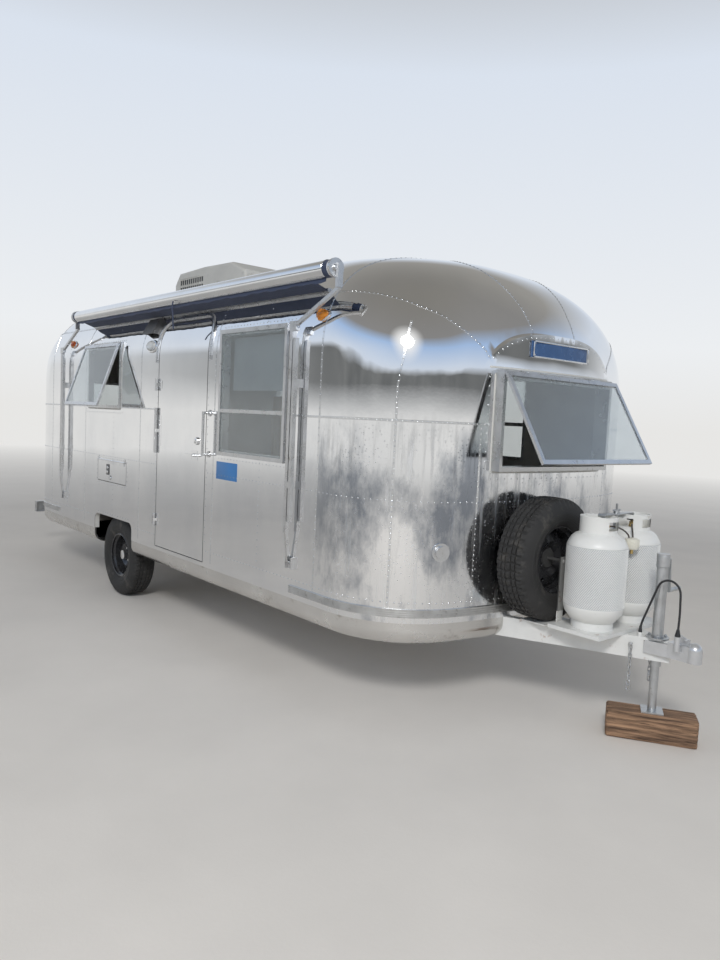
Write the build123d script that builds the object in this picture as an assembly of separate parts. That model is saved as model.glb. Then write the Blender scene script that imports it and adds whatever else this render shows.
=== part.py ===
from build123d import *
import math
import os

# Travel caravan, riveted aluminium, single axle, standing on its tongue jack.
# Frame: X forward along the tongue, Y to the street side, Z up from the ground.
# The origin is on the ground below the tongue jack. Millimetres.

# Body shell
HALF_WIDTH = 1150.0
NOSE_X = -700.0
TAIL_X = -6550.0
WALL = 38.0
SKIN_BOTTOM = 530.0
BELT_Z = 1600.0
ROOF_SEAM_Z = 2300.0
SIDE_ARC = 620.0
END_ARC = 760.0
SIDE_ARC_Z = 1975.0
SHOULDER_DEG = 82.0
CORNER_R = 550.0
CORNER_GROWTH = 100.0
BOW_R = 3000.0
END_LENGTH = 760.0

# Floor, chassis and belly
FLOOR_TOP = 610.0
FLOOR_T = 20.0
RAIL_Y = 560.0
RAIL_DEPTH = 130.0
RAIL_WIDTH = 50.0
CROSS_T = 40.0
CHASSIS_FRONT_X = -1200.0
CHASSIS_REAR_X = -6150.0
BELLY_Z = 400.0
BELLY_T = 12.0
BELLY_TUCK = 105.0

# Wheels and axle
AXLE_X = -4286.0
TRACK_HALF = 1000.0
TYRE_R = 342.0
TYRE_W = 205.0
RIM_R = 190.0
RIM_W = 160.0
HUB_R = 52.0
SPINDLE_R = 20.0
AXLE_TUBE_R = 36.0
WELL_LENGTH = 770.0
WELL_TOP = 668.0
WELL_INNER_Y = 855.0
LINER_TOP = 745.0
LINER_T = 6.0

# Entrance door
DOOR_REAR_X = -3475.0
DOOR_WIDTH = 750.0
DOOR_BOTTOM = 556.0
DOOR_TOP = 2244.0
DOOR_CORNER = 130.0
DOOR_GAP = 6.0
HINGE_OUT = 14.0
HINGE_R = 7.0

# Windows: opening sizes are the table's, these are common to all
FRAME_W = 24.0
FRAME_PROUD = 12.0
SASH_T = 16.0
SASH_W = 26.0
SASH_LAP = 14.0
SASH_GAP = 5.5
PANE_T = 5.0
FRONT_SASH_OPEN = 30.0
CURB_SASH_OPEN = 19.0

# Tongue, jack and block
TONGUE_TOP = 530.0
TONGUE_DEPTH = 110.0
TONGUE_WIDTH = 48.0
TONGUE_HALF_ANGLE = 24.3
TONGUE_APEX_X = 75.0
DECK_T = 20.0
JACK_TOP = 975.0
JACK_R = 29.0
JACK_LEG_R = 22.0
JACK_FOOT = 110.0
JACK_FOOT_T = 8.0
BLOCK_H = 145.0
BLOCK_L = 450.0
BLOCK_W = 150.0
BLOCK_YAW = 32.5
BALL_BORE_R = 25.8
COUPLER_X = 200.0

# Gas cylinders and spare wheel
TANK_X = -285.0
TANK_Y = 165.0
TANK_R = 157.0
TANK_SHOULDER = 506.0
SPARE_X = -575.0
SPARE_Y = -200.0
SPARE_LIFT = 5.0

# Awning
AWNING_FRONT_X = -1300.0
AWNING_REAR_X = -5000.0
AWNING_R = 45.0
AWNING_Y = -1215.0
AWNING_Z = 2385.0
ARM_FRONT_X = -1675.0
ARM_REAR_X = -5420.0
ARM_FOOT_Z = 745.0

# Roof unit
AC_X = -4250.0
AC_L = 1250.0
AC_W = 660.0
AC_H = 265.0

# Derived heights of the shell profile
S82 = math.sin(math.radians(SHOULDER_DEG))
C82 = math.cos(math.radians(SHOULDER_DEG))
END_ARC_Z = SIDE_ARC_Z + (SIDE_ARC - END_ARC) * S82
SHOULDER_HALF = HALF_WIDTH - SIDE_ARC * (1 - C82)
SHOULDER_Z = SIDE_ARC_Z + SIDE_ARC * S82
CROWN_R = SHOULDER_HALF / C82
CROWN_Z0 = SHOULDER_Z - CROWN_R * S82
ROOF_TOP = CROWN_Z0 + CROWN_R
FLOOR_BOTTOM = FLOOR_TOP - FLOOR_T
NOSE_END_X = NOSE_X - END_LENGTH
TAIL_END_X = TAIL_X + END_LENGTH


def box(x0, x1, y0, y1, z0, z1):
    """Box between two corners."""
    size = Box(abs(x1 - x0), abs(y1 - y0), abs(z1 - z0))
    return Pos((x0 + x1) / 2, (y0 + y1) / 2, (z0 + z1) / 2) * size


def rod(a, b, r):
    """Round bar from point a to point b."""
    a = Vector(*a)
    b = Vector(*b)
    d = b - a
    return Plane(origin=a, z_dir=d) * upright(r, d.length)


def upright(r, h):
    """Upright round post on its base."""
    return Cylinder(r, h, align=(Align.CENTER, Align.CENTER, Align.MIN))


def bar(a, b, w, h, side=(0, 0, 1)):
    """Rectangular bar from a to b, w across and h along the side direction."""
    a = Vector(*a)
    b = Vector(*b)
    d = b - a
    across = d.cross(Vector(*side))
    block = Box(w, h, d.length, align=(Align.CENTER, Align.CENTER, Align.MIN))
    return Plane(origin=a, x_dir=across, z_dir=d) * block


def shell_half_width(z, t=0.0):
    """Half width of the body at a height, for the surface t inside the skin."""
    arc = SIDE_ARC - t
    if z <= SIDE_ARC_Z:
        return HALF_WIDTH - t
    if z <= SIDE_ARC_Z + arc * S82:
        return HALF_WIDTH - t - arc + math.sqrt(arc ** 2 - (z - SIDE_ARC_Z) ** 2)
    crown = CROWN_R - t
    return math.sqrt(crown ** 2 - (z - CROWN_Z0) ** 2)


def shell_end_inset(z, t=0.0):
    """How far the end face lies behind the nose at a height."""
    arc = END_ARC - t
    if z <= END_ARC_Z:
        return t
    if z <= END_ARC_Z + arc * S82:
        return t + arc - math.sqrt(arc ** 2 - (z - END_ARC_Z) ** 2)
    at_shoulder = SHOULDER_HALF - t * C82
    return t + arc * (1 - C82) + at_shoulder - shell_half_width(z, t)


def outline(z, t=0.0, grow=0.0):
    """Plan outline of the body at a height: two sides, four corners, two bows."""
    w = shell_half_width(z, t) + grow
    ins = shell_end_inset(z, t) - grow
    share = min(1.0, max(0.0, (z - END_ARC_Z) / (SHOULDER_Z - END_ARC_Z)))
    rc = min(CORNER_R + CORNER_GROWTH * share - t + grow, w - 25.0)
    bow = BOW_R - t + grow
    xf = NOSE_X - ins
    xr = TAIL_X + ins
    yc = w - rc
    run = math.sqrt((bow - rc) ** 2 - yc ** 2)
    xcf = xf - bow + run
    xcr = xr + bow - run
    a = math.atan2(yc, run)
    m = (a + math.pi / 2) / 2

    def at(cx, cy, r, ang):
        return Vector(cx + r * math.cos(ang), cy + r * math.sin(ang), z)

    front_low = at(xcf, -yc, rc, -a)
    front_high = at(xcf, yc, rc, a)
    rear_high = at(xcr, yc, rc, math.pi - a)
    rear_low = at(xcr, -yc, rc, math.pi + a)
    edges = [
        Edge.make_line(Vector(xcr, -w, z), Vector(xcf, -w, z)),
        Edge.make_three_point_arc(Vector(xcf, -w, z), at(xcf, -yc, rc, -m), front_low),
        Edge.make_three_point_arc(front_low, Vector(xf, 0, z), front_high),
        Edge.make_three_point_arc(front_high, at(xcf, yc, rc, m), Vector(xcf, w, z)),
        Edge.make_line(Vector(xcf, w, z), Vector(xcr, w, z)),
        Edge.make_three_point_arc(Vector(xcr, w, z), at(xcr, yc, rc, math.pi - m), rear_high),
        Edge.make_three_point_arc(rear_high, Vector(xr, 0, z), rear_low),
        Edge.make_three_point_arc(rear_low, at(xcr, -yc, rc, math.pi + m), Vector(xcr, -w, z)),
    ]
    return Wire(edges)


def prism(z0, z1, t=0.0, grow=0.0):
    """Straight walled slice of the body between two heights."""
    face = Face(outline(z0, t, grow))
    return Solid.extrude(face, Vector(0, 0, z1 - z0))


def body_top(t=0.0):
    """Domed part of the body above the end arcs' start, t inside the skin."""
    arc_end = SIDE_ARC_Z + (SIDE_ARC - t) * S82
    top = CROWN_Z0 + CROWN_R - t
    span = arc_end - END_ARC_Z
    levels = [END_ARC_Z + span * f for f in (0.0, 0.19, 0.38, 0.57, 0.74, 0.87, 0.95, 1.0)]
    levels += [arc_end + (top - arc_end) * f for f in (0.5, 0.8, 0.94)]
    return Solid.make_loft([outline(z, t) for z in levels])


def plate_x(points, x0, x1):
    """Plate cut to a Y, Z polygon and standing between two X values."""
    face = Face(Wire.make_polygon([Vector(x0, y, z) for y, z in points]))
    return Solid.extrude(face, Vector(x1 - x0, 0, 0))


def ring_box(outer, inner, axis, lo, hi):
    """Rectangular ring. outer and inner are (u0, u1, z0, z1), swept along X or Y."""
    u0, u1, z0, z1 = outer
    v0, v1, w0, w1 = inner
    if axis == "y":
        return box(u0, u1, lo, hi, z0, z1) - box(v0, v1, lo - 1, hi + 1, w0, w1)
    return box(lo, hi, u0, u1, z0, z1) - box(lo - 1, hi + 1, v0, v1, w0, w1)


# Windows: name, wall, centre along the wall, width, bottom, top, mid rail
WINDOWS = [
    ("curb_front", "right", -2150.0, 740.0, 1330.0, 2120.0, 1610.0),
    ("curb_rear", "right", -4515.0, 700.0, 1590.0, 2110.0, 0.0),
    ("street_front", "left", -2150.0, 740.0, 1330.0, 2120.0, 1610.0),
    ("street_mid", "left", -3400.0, 600.0, 1590.0, 2110.0, 0.0),
    ("street_rear", "left", -4900.0, 700.0, 1590.0, 2110.0, 0.0),
    ("front", "front", 0.0, 1040.0, 1350.0, 1870.0, 0.0),
    ("rear", "rear", 0.0, 1040.0, 1350.0, 1870.0, 0.0),
]
BOW_SAG = BOW_R - math.sqrt(BOW_R ** 2 - 520.0 ** 2)


def wall_span(wall):
    """Axis of the wall's normal, its outside sign and the frame's two faces."""
    if wall == "right":
        return "y", -1, HALF_WIDTH + FRAME_PROUD, HALF_WIDTH - WALL
    if wall == "left":
        return "y", 1, HALF_WIDTH + FRAME_PROUD, HALF_WIDTH - WALL
    if wall == "front":
        return "x", 1, NOSE_X + FRAME_PROUD, NOSE_X - WALL - BOW_SAG
    return "x", -1, -(TAIL_X - FRAME_PROUD), -(TAIL_X + WALL + BOW_SAG)


def window_box(wall, centre, width, z0, z1, pad=0.0):
    """Box through the wall at a window."""
    u0 = centre - width / 2 - pad
    u1 = centre + width / 2 + pad
    if wall == "right":
        return box(u0, u1, -HALF_WIDTH - 60, -HALF_WIDTH + 160, z0 - pad, z1 + pad)
    if wall == "left":
        return box(u0, u1, HALF_WIDTH - 160, HALF_WIDTH + 60, z0 - pad, z1 + pad)
    if wall == "front":
        return box(NOSE_X - 220, NOSE_X + 60, u0, u1, z0 - pad, z1 + pad)
    return box(TAIL_X - 60, TAIL_X + 220, u0, u1, z0 - pad, z1 + pad)


def door_prism(gap):
    """Rounded door outline carried through the right wall."""
    x0 = DOOR_REAR_X + gap
    x1 = DOOR_REAR_X + DOOR_WIDTH - gap
    z0 = DOOR_BOTTOM + gap
    z1 = DOOR_TOP - gap
    r = DOOR_CORNER - gap
    y = -HALF_WIDTH - 60
    k = r * (1 - math.sqrt(0.5))
    edges = [
        Edge.make_line(Vector(x0, y, z0), Vector(x1, y, z0)),
        Edge.make_line(Vector(x1, y, z0), Vector(x1, y, z1 - r)),
        Edge.make_three_point_arc(Vector(x1, y, z1 - r), Vector(x1 - k, y, z1 - k), Vector(x1 - r, y, z1)),
        Edge.make_line(Vector(x1 - r, y, z1), Vector(x0 + r, y, z1)),
        Edge.make_three_point_arc(Vector(x0 + r, y, z1), Vector(x0 + k, y, z1 - k), Vector(x0, y, z1 - r)),
        Edge.make_line(Vector(x0, y, z1 - r), Vector(x0, y, z0)),
    ]
    return Solid.extrude(Face(Wire(edges)), Vector(0, 260, 0))


# Hatch in the curb side above the wheel: rear x, width, bottom and top
HATCH_X0 = -4625.0
HATCH_W = 600.0
HATCH_Z0 = 960.0
HATCH_Z1 = 1150.0
HATCH_GAP = 6.0

# Hollow shell of the whole body
SHELL_LOW = prism(SKIN_BOTTOM, BELT_Z) - prism(SKIN_BOTTOM - 1, BELT_Z + 1, WALL)
SHELL_MID = prism(BELT_Z, END_ARC_Z) - prism(BELT_Z - 1, END_ARC_Z + 1, WALL)
SHELL_TOP = body_top() - body_top(WALL)
SHELL_HIGH = SHELL_MID + SHELL_TOP

# Brow over the front window: the flat window panel stands out of the dome
BROW_HALF = 650.0
BROW_BASE = 1600.0
BROW_LOW = 1899.0
BROW_TOP = 2118.0
BROW_POWER = 2.8
BROW_BACK = 5.0
BROW_RAIL_HALF = 560.0


def brow_solid():
    """Arched panel above the front window, upright where the dome leans back."""
    rise = BROW_TOP - BROW_BASE
    low = ((BROW_LOW - BROW_BASE) / rise) ** BROW_POWER
    y_low = BROW_HALF * (1 - low) ** (1 / BROW_POWER)
    arch = []
    for k in range(-12, 13):
        y = y_low * math.sin(math.radians(90.0 * k / 12))
        arch.append((y, BROW_BASE + rise * (1 - (abs(y) / BROW_HALF) ** BROW_POWER) ** (1 / BROW_POWER)))
    top = Spline([Vector(-1200, y, z) for y, z in arch])
    base = Edge.make_line(Vector(-1200, arch[-1][0], arch[-1][1]), Vector(-1200, arch[0][0], arch[0][1]))
    face = Face(Wire([top.edges()[0], base]))
    arch_block = Solid.extrude(face, Vector(900, 0, 0))
    return (prism(BROW_LOW, BROW_TOP, BROW_BACK) & arch_block) - body_top(1.0)


brow = brow_solid()
rail_box = box(NOSE_X - 200, NOSE_X + 60, -BROW_RAIL_HALF, BROW_RAIL_HALF, BROW_LOW + 5, BROW_LOW + 15)
brow_rail = prism(BROW_LOW, BROW_TOP, BROW_BACK - 12.0) - prism(BROW_LOW, BROW_TOP, BROW_BACK + 2.0)
SHELL_HIGH = SHELL_HIGH + brow + (brow_rail & rail_box)

WELL_X0 = AXLE_X - WELL_LENGTH / 2
WELL_X1 = AXLE_X + WELL_LENGTH / 2


def well_cut(sign, top, pad=0.0):
    """Wheel opening through wall and belly on one side, with rounded top corners."""
    y0 = WELL_INNER_Y - pad
    y1 = HALF_WIDTH + 60
    r = 60.0
    block = box(WELL_X0 - pad, WELL_X1 + pad, y0, y1, BELLY_Z - 60, top)
    block = fillet(block.edges().filter_by(Axis.Y).group_by(Axis.Z)[-1], r)
    return block if sign > 0 else mirror(block, about=Plane.XZ)


wells = [well_cut(s, WELL_TOP) for s in (-1, 1)]
hatch_hole = box(HATCH_X0, HATCH_X0 + HATCH_W, -HALF_WIDTH - 60, -HALF_WIDTH + 160, HATCH_Z0, HATCH_Z1)
hatch_fill = box(
    HATCH_X0 + HATCH_GAP,
    HATCH_X0 + HATCH_W - HATCH_GAP,
    -HALF_WIDTH - 60,
    -HALF_WIDTH + 160,
    HATCH_Z0 + HATCH_GAP,
    HATCH_Z1 - HATCH_GAP,
)
door_hole = door_prism(0.0)

BIG = 4000.0
ahead = box(NOSE_END_X, BIG, -BIG, BIG, 0, BIG)
behind = box(TAIL_END_X, -2 * BIG, -BIG, BIG, 0, BIG)
middle_low = box(TAIL_END_X, NOSE_END_X, -BIG, BIG, 0, ROOF_SEAM_Z)
middle_high = box(TAIL_END_X, NOSE_END_X, -BIG, BIG, ROOF_SEAM_Z, BIG)
curb = box(-2 * BIG, BIG, -BIG, 0, 0, BIG)
street = box(-2 * BIG, BIG, 0, BIG, 0, BIG)

parts = {}


def cut_all(shape, tools):
    """Shape less each of the tools in turn."""
    for tool in tools:
        shape = shape - tool
    return shape


by_wall = {"right": [], "left": [], "front": [], "rear": []}
for name, wall, centre, width, z0, z1, mid in WINDOWS:
    by_wall[wall].append(window_box(wall, centre, width, z0, z1))

parts["front_end_lower"] = cut_all(SHELL_LOW & ahead, by_wall["front"])
parts["front_end_upper"] = cut_all(SHELL_HIGH & ahead, by_wall["front"])
parts["rear_end_lower"] = cut_all(SHELL_LOW & behind, by_wall["rear"])
parts["rear_end_upper"] = cut_all(SHELL_HIGH & behind, by_wall["rear"])
side_shell = (SHELL_LOW + SHELL_HIGH) & middle_low
parts["side_right"] = cut_all(side_shell & curb, by_wall["right"] + [hatch_hole, door_hole, wells[0]])
parts["side_left"] = cut_all(side_shell & street, by_wall["left"] + [wells[1]])
parts["roof"] = SHELL_HIGH & middle_high
door_full = (side_shell & curb) & door_prism(DOOR_GAP)
parts["door_panel"] = door_full
parts["hatch_lid"] = (side_shell & curb) & hatch_fill

# Belly wrap: a skirt that tucks under, then the flat pan
def belly_solid(t):
    """Tucked lower body as a loft of straight and drawn-in outlines."""
    low = BELLY_Z + t
    rows = [(SKIN_BOTTOM, t), (SKIN_BOTTOM - 45.0, t)]
    for deg in (22.5, 45.0, 67.5, 90.0):
        s = math.radians(deg)
        drop = (SKIN_BOTTOM - 45.0 - low) * math.sin(s)
        rows.append((SKIN_BOTTOM - 45.0 - drop, t + BELLY_TUCK * (1 - math.cos(s))))
    wires = []
    for z, inset in rows:
        wires.append(outline(SKIN_BOTTOM, inset).moved(Location((0, 0, z - SKIN_BOTTOM))))
    straight = Solid.extrude(Face(wires[0]), Vector(0, 0, rows[1][0] - rows[0][0]))
    tuck = Solid.make_loft(wires[1:])
    return straight + tuck


belly = belly_solid(0.0) - belly_solid(BELLY_T)
well_pads = [well_cut(s, SKIN_BOTTOM + 200, 0.0) for s in (-1, 1)]
belly = cut_all(belly, well_pads)


# Tongue: two channels from the front cross member to the coupler
HALF_ANGLE = math.radians(TONGUE_HALF_ANGLE)
TONGUE_BOTTOM = TONGUE_TOP - TONGUE_DEPTH


def tongue_outline(pad=0.0):
    """One arm of the tongue, right side, as a solid box section in plan."""
    c = math.cos(HALF_ANGLE)
    s = math.sin(HALF_ANGLE)
    back = CHASSIS_FRONT_X
    y_out = -(TONGUE_APEX_X - back) * math.tan(HALF_ANGLE)
    y_in = y_out + TONGUE_WIDTH / c
    apex_in = TONGUE_APEX_X - TONGUE_WIDTH / s
    return [
        (back, y_out - pad),
        (TONGUE_APEX_X + pad, 0.0),
        (apex_in - pad, 0.0),
        (back, y_in + pad),
    ]


def plan_plate(points, z0, z1):
    """Plate cut to an X, Y polygon and standing between two heights."""
    face = Face(Wire.make_polygon([Vector(x, y, z0) for x, y in points]))
    return Solid.extrude(face, Vector(0, 0, z1 - z0))


arm_solid = plan_plate(tongue_outline(), TONGUE_BOTTOM, TONGUE_TOP)
arm_right = arm_solid
arm_left = mirror(arm_solid, about=Plane.XZ)
GUSSET_X = -130.0
gusset = plan_plate(
    [
        (GUSSET_X, -(TONGUE_APEX_X - GUSSET_X) * math.tan(HALF_ANGLE)),
        (TONGUE_APEX_X, 0.0),
        (GUSSET_X, (TONGUE_APEX_X - GUSSET_X) * math.tan(HALF_ANGLE)),
    ],
    TONGUE_TOP,
    TONGUE_TOP + 6.0,
)
gusset_low = plan_plate(
    [
        (GUSSET_X, -(TONGUE_APEX_X - GUSSET_X) * math.tan(HALF_ANGLE)),
        (TONGUE_APEX_X, 0.0),
        (GUSSET_X, (TONGUE_APEX_X - GUSSET_X) * math.tan(HALF_ANGLE)),
    ],
    TONGUE_BOTTOM,
    TONGUE_BOTTOM + 6.0,
)
deck_y = TANK_Y + TANK_R
deck_x0 = TANK_X - TANK_R - 10
deck_x1 = TANK_X + 145
deck = box(deck_x0, deck_x1, -deck_y, deck_y, TONGUE_TOP, TONGUE_TOP + DECK_T)
deck_lip = box(deck_x0 + 6, deck_x1 - 6, -deck_y + 6, deck_y - 6, TONGUE_TOP - 1, TONGUE_TOP + DECK_T - 5)
deck = deck - deck_lip
jack_hole = Pos(0, 0, TONGUE_BOTTOM - 5) * upright(JACK_R, TONGUE_DEPTH + 20)
tongue = arm_right + arm_left + gusset + gusset_low + deck
tongue = tongue - jack_hole

arm_cut = plan_plate(tongue_outline(3.0), TONGUE_BOTTOM - 3, TONGUE_TOP + 3)
belly = belly - arm_cut - mirror(arm_cut, about=Plane.XZ)

# Chassis: two rails, cross members and outriggers
RAIL_TOP = FLOOR_BOTTOM
RAIL_BOTTOM = RAIL_TOP - RAIL_DEPTH
WEB = 6.0
rails = []
for side in (-1, 1):
    y0 = side * (RAIL_Y - RAIL_WIDTH / 2)
    y1 = side * (RAIL_Y + RAIL_WIDTH / 2)
    rail = box(CHASSIS_REAR_X, CHASSIS_FRONT_X, y0, y1, RAIL_BOTTOM, RAIL_TOP)
    x0 = CHASSIS_REAR_X - 1
    x1 = CHASSIS_FRONT_X + 1
    hollow = box(x0, x1, y0 - side, y1 - side * WEB, RAIL_BOTTOM + WEB, RAIL_TOP - WEB)
    rails.append(rail - hollow)
parts["chassis_rails"] = Compound(rails)
members = []
cross_xs = [CHASSIS_FRONT_X - CROSS_T]
bays = 5
for k in range(1, bays + 1):
    cross_xs.append(CHASSIS_FRONT_X - CROSS_T + (CHASSIS_REAR_X - CHASSIS_FRONT_X + CROSS_T) * k / bays)
OUTRIG_Y = HALF_WIDTH - WALL - 30
for x in cross_xs:
    if WELL_X0 - 60 < x < WELL_X1 + 20:
        reach = WELL_INNER_Y - 40
    elif x < TAIL_END_X:
        reach = RAIL_Y + 60
    else:
        reach = OUTRIG_Y
    low = TONGUE_BOTTOM if x == cross_xs[0] else RAIL_BOTTOM + 10
    inner_y = RAIL_Y - RAIL_WIDTH / 2 if x == cross_xs[0] else RAIL_Y + RAIL_WIDTH / 2 - WEB
    members.append(box(x, x + CROSS_T, -inner_y, inner_y, low, RAIL_TOP - WEB))
    for side in (-1, 1):
        y_rail = side * (RAIL_Y + RAIL_WIDTH / 2)
        members.append(box(x, x + WEB, y_rail, side * reach, RAIL_TOP - 70, RAIL_TOP))
parts["chassis_members"] = Compound([m.solids()[0] for m in members])

# Axle: tube, trailing arms and mounting plates that pass up through the belly
MOUNT_Y = RAIL_Y
PLATE_L = 260.0
PLATE_T = 10.0
axle = rod((AXLE_X, -(TRACK_HALF - 110), TYRE_R), (AXLE_X, TRACK_HALF - 110, TYRE_R), AXLE_TUBE_R)
slots = []
for side in (-1, 1):
    plate = box(
        AXLE_X - PLATE_L / 2,
        AXLE_X + PLATE_L / 2,
        side * MOUNT_Y - PLATE_T / 2,
        side * MOUNT_Y + PLATE_T / 2,
        TYRE_R - 20,
        RAIL_BOTTOM,
    )
    axle = axle + plate
    hub_end = side * (TRACK_HALF - 110)
    axle = axle + rod((AXLE_X, hub_end, TYRE_R), (AXLE_X, side * (TRACK_HALF + 20), TYRE_R), SPINDLE_R)
    drum_in = side * (TRACK_HALF - 108)
    drum_out = side * (TRACK_HALF - 48)
    axle = axle + rod((AXLE_X, drum_in, TYRE_R), (AXLE_X, side * (TRACK_HALF - 100), TYRE_R), 110.0)
    slots.append(
        box(
            AXLE_X - PLATE_L / 2 - 2,
            AXLE_X + PLATE_L / 2 + 2,
            side * MOUNT_Y - PLATE_T / 2 - 2,
            side * MOUNT_Y + PLATE_T / 2 + 2,
            BELLY_Z - 10,
            BELLY_Z + BELLY_T + 10,
        )
    )
parts["axle"] = axle
belly = cut_all(belly, slots)
parts["belly_wrap"] = belly

# Floor with the wheel tubs let into it
floor_plate = prism(FLOOR_BOTTOM, FLOOR_TOP, WALL)
for side in (-1, 1):
    y0 = WELL_INNER_Y - LINER_T
    tub = box(WELL_X0 - LINER_T, WELL_X1 + LINER_T, y0, HALF_WIDTH - WALL, FLOOR_BOTTOM, LINER_TOP)
    hollow = box(WELL_X0, WELL_X1, WELL_INNER_Y, HALF_WIDTH + 5, FLOOR_BOTTOM - 5, LINER_TOP - LINER_T)
    if side < 0:
        tub = mirror(tub, about=Plane.XZ)
        hollow = mirror(hollow, about=Plane.XZ)
    floor_plate = floor_plate + tub - hollow
parts["floor"] = floor_plate


# Wheels
def revolve_xz(points):
    """Closed X, Z polygon turned about the Z axis."""
    face = Face(Wire.make_polygon([Vector(x, 0, z) for x, z in points]))
    return Solid.revolve(face, 360.0, Axis.Z)


def tyre_solid():
    """Road tyre with its axle along Z, centred."""
    h = TYRE_W / 2
    pts = [
        (RIM_R + 2, -h * 0.74),
        (RIM_R + 24, -h * 0.86),
        (TYRE_R * 0.80, -h),
        (TYRE_R - 24, -h * 0.95),
        (TYRE_R - 7, -h * 0.80),
        (TYRE_R, -h * 0.58),
        (TYRE_R, h * 0.58),
        (TYRE_R - 7, h * 0.80),
        (TYRE_R - 24, h * 0.95),
        (TYRE_R * 0.80, h),
        (RIM_R + 24, h * 0.86),
        (RIM_R + 2, h * 0.74),
    ]
    return revolve_xz(pts)


def rim_solid(bore):
    """Steel disc wheel with its axle along Z, its outer face at +Z."""
    h = RIM_W / 2
    pts = [
        (bore, -4.0),
        (HUB_R + 16, -4.0),
        (HUB_R + 44, 18.0),
        (RIM_R - 48, 4.0),
        (RIM_R - 26, -16.0),
        (RIM_R - 24, -h * 0.62),
        (RIM_R - 8, -h * 0.80),
        (RIM_R - 8, -h),
        (RIM_R + 1, -h),
        (RIM_R + 1, h),
        (RIM_R - 8, h),
        (RIM_R - 8, h * 0.80),
        (RIM_R - 24, h * 0.62),
        (RIM_R - 24, 0.0),
        (RIM_R - 46, 12.0),
        (HUB_R + 44, 26.0),
        (HUB_R + 14, 5.0),
        (bore, 5.0),
    ]
    disc = revolve_xz(pts)
    for k in range(8):
        a = math.radians(45 * k + 22.5)
        hole = Pos((RIM_R - 62) * math.cos(a), (RIM_R - 62) * math.sin(a), 0) * Cylinder(13.0, 90)
        disc = disc - hole
    return disc


def hub_solid():
    """Brake drum and hub with its axle along Z, its outer face at +Z."""
    drum = Pos(0, 0, -90) * upright(112.0, 86)
    cap = Pos(0, 0, -4) * upright(HUB_R - 14, 62)
    body = drum + cap
    for k in range(5):
        a = math.radians(72 * k + 90)
        stud = Pos(57 * math.cos(a), 57 * math.sin(a), -4) * upright(9.0, 26)
        body = body + stud
    bore = Pos(0, 0, -95) * upright(SPINDLE_R + 0.4, 125)
    return body - bore


def wheel_place(side):
    """Location that turns a wheel's +Z outwards on one side."""
    return Pos(AXLE_X, side * TRACK_HALF, TYRE_R) * Rot(-90.0 * side, 0, 0)


tyre = tyre_solid()
rim = rim_solid(HUB_R - 13.8)
for k in range(5):
    a = math.radians(72 * k + 90)
    rim = rim - Pos(57 * math.cos(a), 57 * math.sin(a), -10) * Cylinder(9.2, 60)
hub = hub_solid()
for name, side in (("right", -1), ("left", 1)):
    place = wheel_place(side)
    parts["tyre_" + name] = place * tyre
    parts["rim_" + name] = place * rim
    parts["hub_" + name] = place * hub

# Spare wheel standing on the tongue behind the gas cylinders
spare_z = TONGUE_TOP + SPARE_LIFT + TYRE_R
spare_place = Pos(SPARE_X, SPARE_Y, spare_z) * Rot(0, 90, 0)
parts["spare_tyre"] = spare_place * tyre
parts["spare_rim"] = spare_place * rim
SPARE_FRONT = SPARE_X + TYRE_W / 2
CLAMP_R = 52.0
cradle_top = TONGUE_TOP + SPARE_LIFT - 0.3
cradle = box(SPARE_X - 60, SPARE_FRONT + 2, SPARE_Y - 120, SPARE_Y + 120, TONGUE_TOP, cradle_top)
post = rod((SPARE_X - 14, SPARE_Y, spare_z), (SPARE_FRONT + 12, SPARE_Y, spare_z), 9.0)
nut = rod((SPARE_X + 5.3, SPARE_Y, spare_z), (SPARE_X + 11, SPARE_Y, spare_z), CLAMP_R)
back_plate = rod((SPARE_X - 10, SPARE_Y, spare_z), (SPARE_X - 4.3, SPARE_Y, spare_z), CLAMP_R)
front_bar = box(SPARE_FRONT + 2, SPARE_FRONT + 10, SPARE_Y - 24, SPARE_Y + 24, TONGUE_TOP, spare_z + 24)
spare_carrier = cradle + post + nut + back_plate + front_bar
parts["tongue_frame"] = tongue + spare_carrier

# Rub rail round the nose and the tail
RUB_Z0 = 563.0
RUB_Z1 = 607.0
RUB_T = 11.0
RUB_REACH = 985.0
rub = prism(RUB_Z0, RUB_Z1, 0.0, RUB_T) - prism(RUB_Z0 - 1, RUB_Z1 + 1)
for z in (RUB_Z0 + 11, RUB_Z0 + 22, RUB_Z0 + 33):
    rub = rub - (prism(z - 2.5, z + 2.5, 0.0, RUB_T + 2) - prism(z - 3, z + 3, 0.0, RUB_T - 3))
rub_front = rub & box(NOSE_X - RUB_REACH, BIG, -BIG, BIG, 0, BIG)
rub_rear = rub & box(TAIL_X + RUB_REACH, -2 * BIG, -BIG, BIG, 0, BIG)
parts["rub_rails"] = Compound([rub_front.solids()[0], rub_rear.solids()[0]])

# Solid of the whole outer body, to seat what lies on the skin
OUTER = prism(BELLY_Z + 90, END_ARC_Z) + body_top()

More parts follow.
